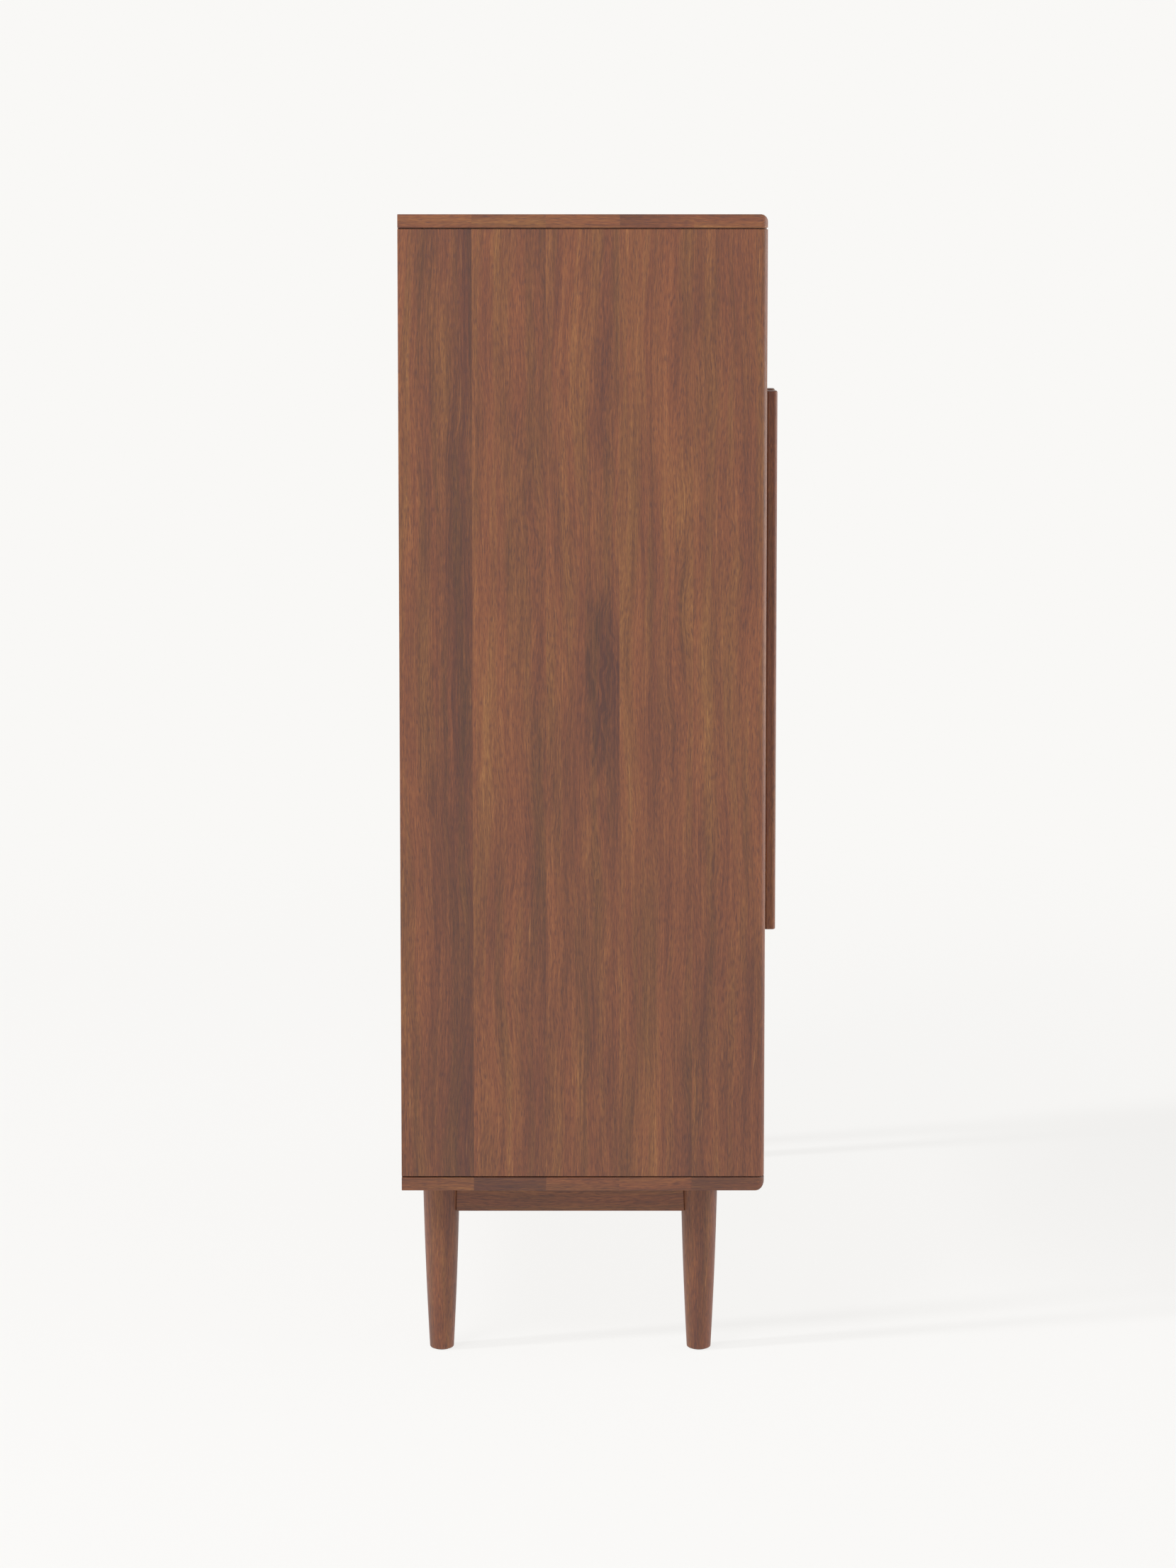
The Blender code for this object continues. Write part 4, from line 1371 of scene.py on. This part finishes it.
@dataclass
class MagneticCatch:
    """A magnetic catch under the top panel, and the strike plate that it holds."""

    side: str
    finishes: Finishes
    flange_length: float = 0.008
    flange_thickness: float = 0.002
    flange_inset: float = 0.0003
    flange_edge: float = 0.0006
    seating: float = 0.00005
    housing_edge: float = 0.0009
    pole_heights: tuple[float, float] = (0.0022, 0.0072)
    pole_thickness: float = 0.0016
    pole_inset: float = 0.003
    pole_proud: float = 0.00015
    pole_depth: float = 0.006
    pole_edge: float = 0.0002
    flange_screw: ScrewHead = ScrewHead(radius=0.0022)
    strike_corner_share: float = 0.2
    strike_edge: float = 0.0003
    strike_screw: ScrewHead = ScrewHead(radius=0.0026, rise=0.0001)

    def catch(self) -> None:
        """The moulded housing on its flange, with two steel poles and two screws."""
        node = f"{self.side}_magnetic_catch"
        low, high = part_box(node)
        flange_z = high.z - self.flange_thickness
        start_x, end_x = low.x + self.flange_length, high.x - self.flange_length
        housing = box_shell((start_x, low.y, low.z), (end_x, high.y, high.z), self.housing_edge)
        flange = box_shell(
            (low.x, low.y + self.flange_inset, flange_z),
            (high.x, high.y - self.flange_inset, high.z - self.seating),
            self.flange_edge,
        )
        finish = self.finishes.brown_plastic
        add_piece(node + "_moulded", [housing, flange], finish, "root", [node])

        poles = [
            box_shell(
                (start_x + self.pole_inset, low.y - self.pole_proud, low.z + height),
                (
                    end_x - self.pole_inset,
                    low.y + self.pole_depth,
                    low.z + height + self.pole_thickness,
                ),
                self.pole_edge,
            )
            for height in self.pole_heights
        ]
        middle_y = (low.y + high.y) / 2
        heads = [
            self.flange_screw.shell(Vector((x, middle_y, flange_z)), Axis.Z, -1)
            for x in (low.x + self.flange_length / 2, high.x - self.flange_length / 2)
        ]
        name = f"{self.side}_catch_poles_and_screws"
        add_piece(name, poles + heads, self.finishes.steel, "root")

    def strike(self, body: str) -> None:
        """The strike plate with its screw.

        Args:
            body: The CAD body of the door that it is fixed to.
        """
        node = f"{self.side}_strike_plate"
        low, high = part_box(node)
        corner = (high.z - low.z) * self.strike_corner_share
        outline = rounded_outline(rectangle(low.z, low.x, high.z, high.x, corner))
        plate = swept(outline, low.y, high.y, Axis.Y, self.strike_edge, self.strike_edge)
        centre = Vector(((low.x + high.x) / 2, high.y, (low.z + high.z) / 2))
        head = self.strike_screw.shell(centre, Axis.Y, 1)
        add_piece(node + "_plated", [plate, head], self.finishes.steel, body, [node])


@dataclass
class Door:
    """One door with its handle, catch and hinges."""

    side: str
    hand: int
    finishes: Finishes
    slab_seed: int
    handle_seed: int
    edge: float = 0.0016
    stave_count: int = 5
    handle_stem: float = 0.014
    handle_lip: float = 0.013
    handle_edge: float = 0.0045
    handle_foot_edge: float = 0.0026
    handle_groove_edge: float = 0.003
    handle_end: float = 0.0014
    handle_stave: float = 0.1
    screw: ScrewHead = ScrewHead(radius=0.0036)
    screw_places: tuple[float, float, float] = (0.12, 0.5, 0.88)

    @property
    def body(self) -> str:
        """The CAD body that moves with this door."""
        return f"{self.side}_door_body"

    def slab(self) -> None:
        """The door's board, with upright staves and softened front edges."""
        node = f"{self.side}_door"
        low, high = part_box(node)
        outline = rounded_outline(
            [
                (low.x, low.y, self.edge),
                (high.x, low.y, self.edge),
                (high.x, high.y, ARRIS),
                (low.x, high.y, ARRIS),
            ]
        )
        edge = END_ARRIS + (self.edge - ARRIS) * front_weight(outline)
        board = swept(outline, low.z, high.z, Axis.Z, edge, edge)
        width = (high.x - low.x) / self.stave_count
        grain = Grain(Axis.Z, Axis.X, low.x, width, self.slab_seed)
        finish = self.finishes.panel
        add_piece(node + "_veneered", [board], finish, self.body, [node], grain)

    def handle(self) -> None:
        """The long pull, an L in plan: a stem on the door and a lip over a finger groove."""
        node = f"{self.side}_handle"
        low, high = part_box(node)
        near, far = sorted((abs(low.x), abs(high.x)))
        stem_x, lip_y = near + self.handle_stem, low.y + self.handle_lip
        corners = [
            (near, high.y, self.handle_foot_edge),
            (near, low.y, self.handle_edge),
            (far, low.y, self.handle_edge),
            (far, lip_y, self.handle_groove_edge),
            (stem_x, lip_y, self.handle_groove_edge),
            (stem_x, high.y, self.handle_foot_edge),
        ]
        outline = rounded_outline(mirrored(corners, self.hand), steps=7)
        pull = swept(outline, low.z, high.z, Axis.Z, self.handle_end, self.handle_end, steps=7)
        grain = Grain(Axis.Z, Axis.X, low.x, self.handle_stave, self.handle_seed)
        finish = self.finishes.handle
        add_piece(node + "_shaped", [pull], finish, self.body, [node], grain)

        door_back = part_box(f"{self.side}_door")[1].y
        middle_x = self.hand * (near + self.handle_stem / 2)
        heights = [low.z + share * (high.z - low.z) for share in self.screw_places]
        screws = [
            self.screw.shell(Vector((middle_x, door_back, height)), Axis.Y, 1)
            for height in heights
        ]
        add_piece(f"{node}_screws", screws, self.finishes.steel, self.body)

    def build(self) -> None:
        """Builds the door and its fittings."""
        self.slab()
        self.handle()
        catch = MagneticCatch(self.side, self.finishes)
        catch.catch()
        catch.strike(self.body)
        joint = next(joint for joint in frame["joints"] if joint["child"] == self.body)
        for end in ("top", "bottom"):
            hinge = PivotHinge(self.side, self.hand, end, Vector(joint["pos_m"]), self.finishes)
            hinge.leaf(True, self.body)
            hinge.leaf(False, "root")


@dataclass
class LegFrame:
    """Four turned legs with glides, and the rails and aprons between them."""

    finishes: Finishes
    foot_diameter: float = 0.0256
    swell: float = 0.0016
    foot_round: float = 0.0020
    top_edge: float = 0.0005
    taper_rings: int = 24
    ring_gap: float = 0.001
    recess_centre: float = 0.002
    recess_inner_edge: float = 0.0002
    recess_edge: float = 0.0003
    glide_clearance: float = 0.0003
    glide_centre: float = 0.001
    glide_foot_edge: float = 0.0006
    glide_top_edge: float = 0.0003
    rail_edge: float = 0.0008
    rail_end_edge: float = 0.0006
    rail_joint: float = 0.0006
    stave_width: float = 0.1
    grain_margin: float = 0.02

    def leg_radius(self, height: Amount, top_z: float, top_diameter: float) -> Amount:
        """Half the leg's diameter: a straight taper plus a swell of 4 s (1 - s).

        The share s runs from 0 at the foot to 1 at the top.

        Args:
            height: Height above the floor.
            top_z: Height of the leg's top.
            top_diameter: Diameter at the top.

        Returns:
            The radius at that height.
        """
        share = height / top_z
        straight = self.foot_diameter + (top_diameter - self.foot_diameter) * share
        return (straight + 4 * self.swell * share * (1 - share)) / 2

    def leg(self, node: str, seed: int) -> None:
        """A leg, turned from the recess over its glide round the foot and up to its top edge.

        Args:
            node: The CAD node.
            seed: Chooses its grain.
        """
        low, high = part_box(node)
        glide_low, glide_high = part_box(node + "_glide")
        centre = Vector(((low.x + high.x) / 2, (low.y + high.y) / 2, 0))
        top_diameter = high.x - low.x
        recess = (glide_high.x - glide_low.x) / 2 + self.glide_clearance
        recess_z = glide_high.z + self.glide_clearance
        round_z = low.z + self.foot_round
        foot_radius = float(self.leg_radius(round_z, high.z, top_diameter))
        foot_points, foot_normals = rounded_path(
            [
                (self.recess_centre, recess_z, 0.0),
                (recess, recess_z, self.recess_inner_edge),
                (recess, low.z, self.recess_edge),
                (foot_radius, low.z, self.foot_round),
                (foot_radius, round_z + self.ring_gap, 0.0),
            ],
            steps=6,
        )
        shaft_low, shaft_high = round_z + 2 * self.ring_gap, high.z - self.top_edge
        heights = np.linspace(shaft_low, shaft_high, self.taper_rings)
        radii = self.leg_radius(heights, high.z, top_diameter)
        slope = np.gradient(radii, heights)
        shaft_normals = unit(np.stack([np.ones_like(slope), -slope], axis=1))
        angle = np.linspace(0, math.pi / 2, 5)[1:]
        edge_radii = radii[-1] - self.top_edge * (1 - np.cos(angle))
        edge_heights = high.z - self.top_edge * (1 - np.sin(angle))
        edge_points = np.stack([edge_radii, edge_heights], axis=1)
        edge_normals = np.stack([np.cos(angle), np.sin(angle)], axis=1)
        shaft_points = np.stack([radii, heights], axis=1)
        points = np.concatenate([foot_points[:-1], shaft_points, edge_points])
        normals = np.concatenate([foot_normals[:-1], shaft_normals, edge_normals])
        grain = Grain(Axis.Z, Axis.Y, low.y - self.grain_margin, self.stave_width, seed)
        leg, finish = turned((points, normals), centre), self.finishes.leg
        add_piece(node + "_turned", [leg], finish, "root", [node], grain)
        self.glide(node + "_glide", centre)

    def glide(self, node: str, centre: Vector) -> None:
        """The glide under a leg.

        Args:
            node: The CAD node.
            centre: The leg's axis, on the floor.
        """
        low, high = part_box(node)
        radius = (high.x - low.x) / 2
        profile = rounded_path(
            [
                (self.glide_centre, low.z, 0.0),
                (radius, low.z, self.glide_foot_edge),
                (radius, high.z, self.glide_top_edge),
                (self.glide_centre, high.z, 0.0),
            ]
        )
        shell, finish = turned(profile, centre, SMALL_TURNED_SIDES), self.finishes.black_plastic
        add_piece(node + "_moulded", [shell], finish, "root", [node])

    def rail(self, node: str, axis: Axis, leg_nodes: tuple[str, str], seed: int) -> None:
        """A rail whose ends are scribed to the round legs.

        At a point t off the rail's middle plane the end stands sqrt(r^2 - t^2) from the leg's axis,
        where r is the leg's radius at that height plus a fine joint.

        Args:
            node: The CAD node.
            axis: The axis that it runs along.
            leg_nodes: The legs at its low and its high end.
            seed: Chooses its grain.
        """
        low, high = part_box(node)
        if axis is Axis.X:
            corners = rectangle(low.y, low.z, high.y, high.z, self.rail_edge)
        else:
            corners = rectangle(low.z, low.x, high.z, high.x, self.rail_edge)
        outline = rounded_outline(corners, run_points=9)
        across, height = (0, 1) if axis is Axis.X else (1, 0)
        off_middle = outline[0][:, across]
        off_middle = off_middle - (off_middle.min() + off_middle.max()) / 2
        ends = []
        for leg_node, sign in zip(leg_nodes, (1, -1)):
            leg_low, leg_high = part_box(leg_node)
            centre = (leg_low[axis.along] + leg_high[axis.along]) / 2
            radius = self.leg_radius(outline[0][:, height], leg_high.z, leg_high.x - leg_low.x)
            reach = np.sqrt((radius + self.rail_joint) ** 2 - off_middle**2)
            ends.append(centre + sign * reach)
        edge = self.rail_end_edge
        shell, finish = swept(outline, ends[0], ends[1], axis, edge, edge), self.finishes.rail
        grain = Grain(axis, Axis.Z, low.z - self.grain_margin, self.stave_width, seed)
        add_piece(node + "_planed", [shell], finish, "root", [node], grain)

    def build(self) -> None:
        """Builds the legs, glides, aprons and rails."""
        legs = ("front_left_leg", "front_right_leg", "back_left_leg", "back_right_leg")
        for number, node in enumerate(legs):
            self.leg(node, 40 + number)
        front_left, front_right, back_left, back_right = legs
        self.rail("left_side_apron", Axis.Y, (front_left, back_left), 50)
        self.rail("right_side_apron", Axis.Y, (front_right, back_right), 51)
        self.rail("front_rail", Axis.X, (front_left, front_right), 52)
        self.rail("back_rail", Axis.X, (back_left, back_right), 53)


# ------------------------------------------------------------------ studio


@dataclass(frozen=True)
class Softbox:
    """A rectangular light: its place, its width and height in metres and its power in watts."""

    name: str
    place: tuple[float, float, float]
    size: tuple[float, float]
    power: float

    def build(self, aim: Vector) -> None:
        """Adds the light, facing a point.

        Args:
            aim: The point.
        """
        light = bpy.data.lights.new(self.name, "AREA")
        light.shape = "RECTANGLE"
        light.size, light.size_y = self.size
        light.energy = self.power
        lamp = bpy.data.objects.new(self.name, light)
        lamp.location = self.place
        lamp.rotation_euler = (aim - Vector(self.place)).to_track_quat("-Z", "Y").to_euler()
        bpy.context.scene.collection.objects.link(lamp)


@dataclass
class Studio:
    """Pale floor that runs into a pale background, soft lights and the camera."""

    softboxes: tuple[Softbox, ...] = (
        Softbox("key_softbox", (-2.2, 1.6, 3.2), (1.4, 1.2), 68.0),
        Softbox("left_softbox", (-0.4, 3.0, 0.8), (1.6, 1.5), 26.0),
        Softbox("front_softbox", (0.1, -3.1, 1.3), (3.0, 2.6), 64.0),
    )
    aim: tuple[float, float, float] = (0, 0, 0.6)
    pale: Colour = srgb(249, 248, 246)
    floor_glow: float = 0.885
    floor_reflectance: float = 0.05
    fade_start: float = 0.9
    fade_end: float = 3.0
    floor_half_size: float = 40.0
    ambient: float = 0.54
    floor_light_strength: float = 14.5
    floor_light_spread_deg: float = 6.0
    floor_light_way: tuple[float, float, float] = (0.24, -0.94, -0.19)

    camera_place: tuple[float, float, float] = (-4.194, 0.0106, 1.2006)
    camera_pitch_deg: float = 5.02
    focal_length: float = 82.54
    shift_down: float = 0.15

    def floor(self) -> bpy.types.Object:
        """Floor that glows evenly, so that only faint shadows fall on it.

        Returns:
            The floor.
        """
        half = self.floor_half_size
        mesh = bpy.data.meshes.new("studio_floor")
        corners = [(-half, -half, 0), (half, -half, 0), (half, half, 0), (-half, half, 0)]
        mesh.from_pydata(corners, [], [(0, 1, 2, 3)])
        graph = Graph("pale_floor")
        glow = graph.add("Emission", {"Color": (*self.pale, 1.0), "Strength": self.floor_glow})
        reflectance = self.floor_reflectance
        matt = graph.add("BsdfDiffuse", {"Color": (reflectance, reflectance, reflectance, 1.0)})
        near = graph.add("AddShader", {0: glow.outputs[0], 1: matt.outputs[0]})
        far = graph.add("Emission", {"Color": (*self.pale, 1.0), "Strength": 1.0})
        place = graph.add("TexCoord").outputs["Object"]
        share = graph.step(graph.length(place), self.fade_start, self.fade_end)
        mix = graph.add("MixShader", {0: share, 1: near.outputs[0], 2: far.outputs[0]})
        graph.add("OutputMaterial", {"Surface": mix.outputs[0]})
        mesh.materials.append(graph.material)
        floor = bpy.data.objects.new("studio_floor", mesh)
        bpy.context.scene.collection.objects.link(floor)
        return floor

    def floor_light(self, floor: bpy.types.Object) -> None:
        """Low, wide sun from the left that lights the floor alone, for the shadows of the feet.

        Args:
            floor: The floor.
        """
        light = bpy.data.lights.new("floor_light", "SUN")
        light.angle = math.radians(self.floor_light_spread_deg)
        light.energy = self.floor_light_strength
        lamp = bpy.data.objects.new("floor_light", light)
        lamp.rotation_euler = Vector(self.floor_light_way).to_track_quat("-Z", "Y").to_euler()
        bpy.context.scene.collection.objects.link(lamp)
        lit = bpy.data.collections.new("lit_by_floor_light")
        lit.objects.link(floor)
        lamp.light_linking.receiver_collection = lit

    def world(self) -> None:
        """Even sky: the pale background where the camera sees it, a little dimmer as a light."""
        world = bpy.data.worlds.new("studio_sky")
        world.use_nodes = True
        tree = world.node_tree
        tree.nodes.clear()
        seen = tree.nodes.new("ShaderNodeBackground")
        seen.inputs["Color"].default_value = (*self.pale, 1.0)
        lit = tree.nodes.new("ShaderNodeBackground")
        lit.inputs["Color"].default_value = (1.0, 1.0, 1.0, 1.0)
        lit.inputs["Strength"].default_value = self.ambient
        path = tree.nodes.new("ShaderNodeLightPath")
        mix = tree.nodes.new("ShaderNodeMixShader")
        output = tree.nodes.new("ShaderNodeOutputWorld")
        tree.links.new(path.outputs["Is Camera Ray"], mix.inputs["Fac"])
        tree.links.new(lit.outputs[0], mix.inputs[1])
        tree.links.new(seen.outputs[0], mix.inputs[2])
        tree.links.new(mix.outputs[0], output.inputs["Surface"])
        bpy.context.scene.world = world

    def camera(self) -> None:
        """Camera that looks at the left side of the cabinet from a little above its top."""
        data = bpy.data.cameras.new("studio_camera")
        data.lens = self.focal_length
        data.sensor_width = 36.0
        data.sensor_fit = "AUTO"
        data.shift_y = -self.shift_down
        camera = bpy.data.objects.new("studio_camera", data)
        camera.location = self.camera_place
        tilt = math.radians(90 - self.camera_pitch_deg)
        camera.rotation_euler = (tilt, 0, math.radians(-90))
        bpy.context.scene.collection.objects.link(camera)
        bpy.context.scene.camera = camera

    def build(self) -> None:
        """Sets up the floor, sky, lights, camera and display."""
        floor = self.floor()
        self.world()
        for softbox in self.softboxes:
            softbox.build(Vector(self.aim))
        self.floor_light(floor)
        self.camera()
        view = bpy.context.scene.view_settings
        view.view_transform = "Standard"
        view.look = "None"
        view.exposure = 0.0
        view.gamma = 1.0


def main() -> None:
    """Builds the cabinet's looks and the studio round it."""
    logging.basicConfig(level=logging.INFO, format="%(name)s %(message)s")
    finishes = Finishes()
    Studio().build()
    Carcass(finishes).build()
    ShelfBay("left", finishes, first_seed=11).build()
    ShelfBay("right", finishes, first_seed=31).build()
    Door("left", -1, finishes, slab_seed=6, handle_seed=8).build()
    Door("right", 1, finishes, slab_seed=7, handle_seed=9).build()
    LegFrame(finishes).build()


if __name__ == "__main__":
    main()
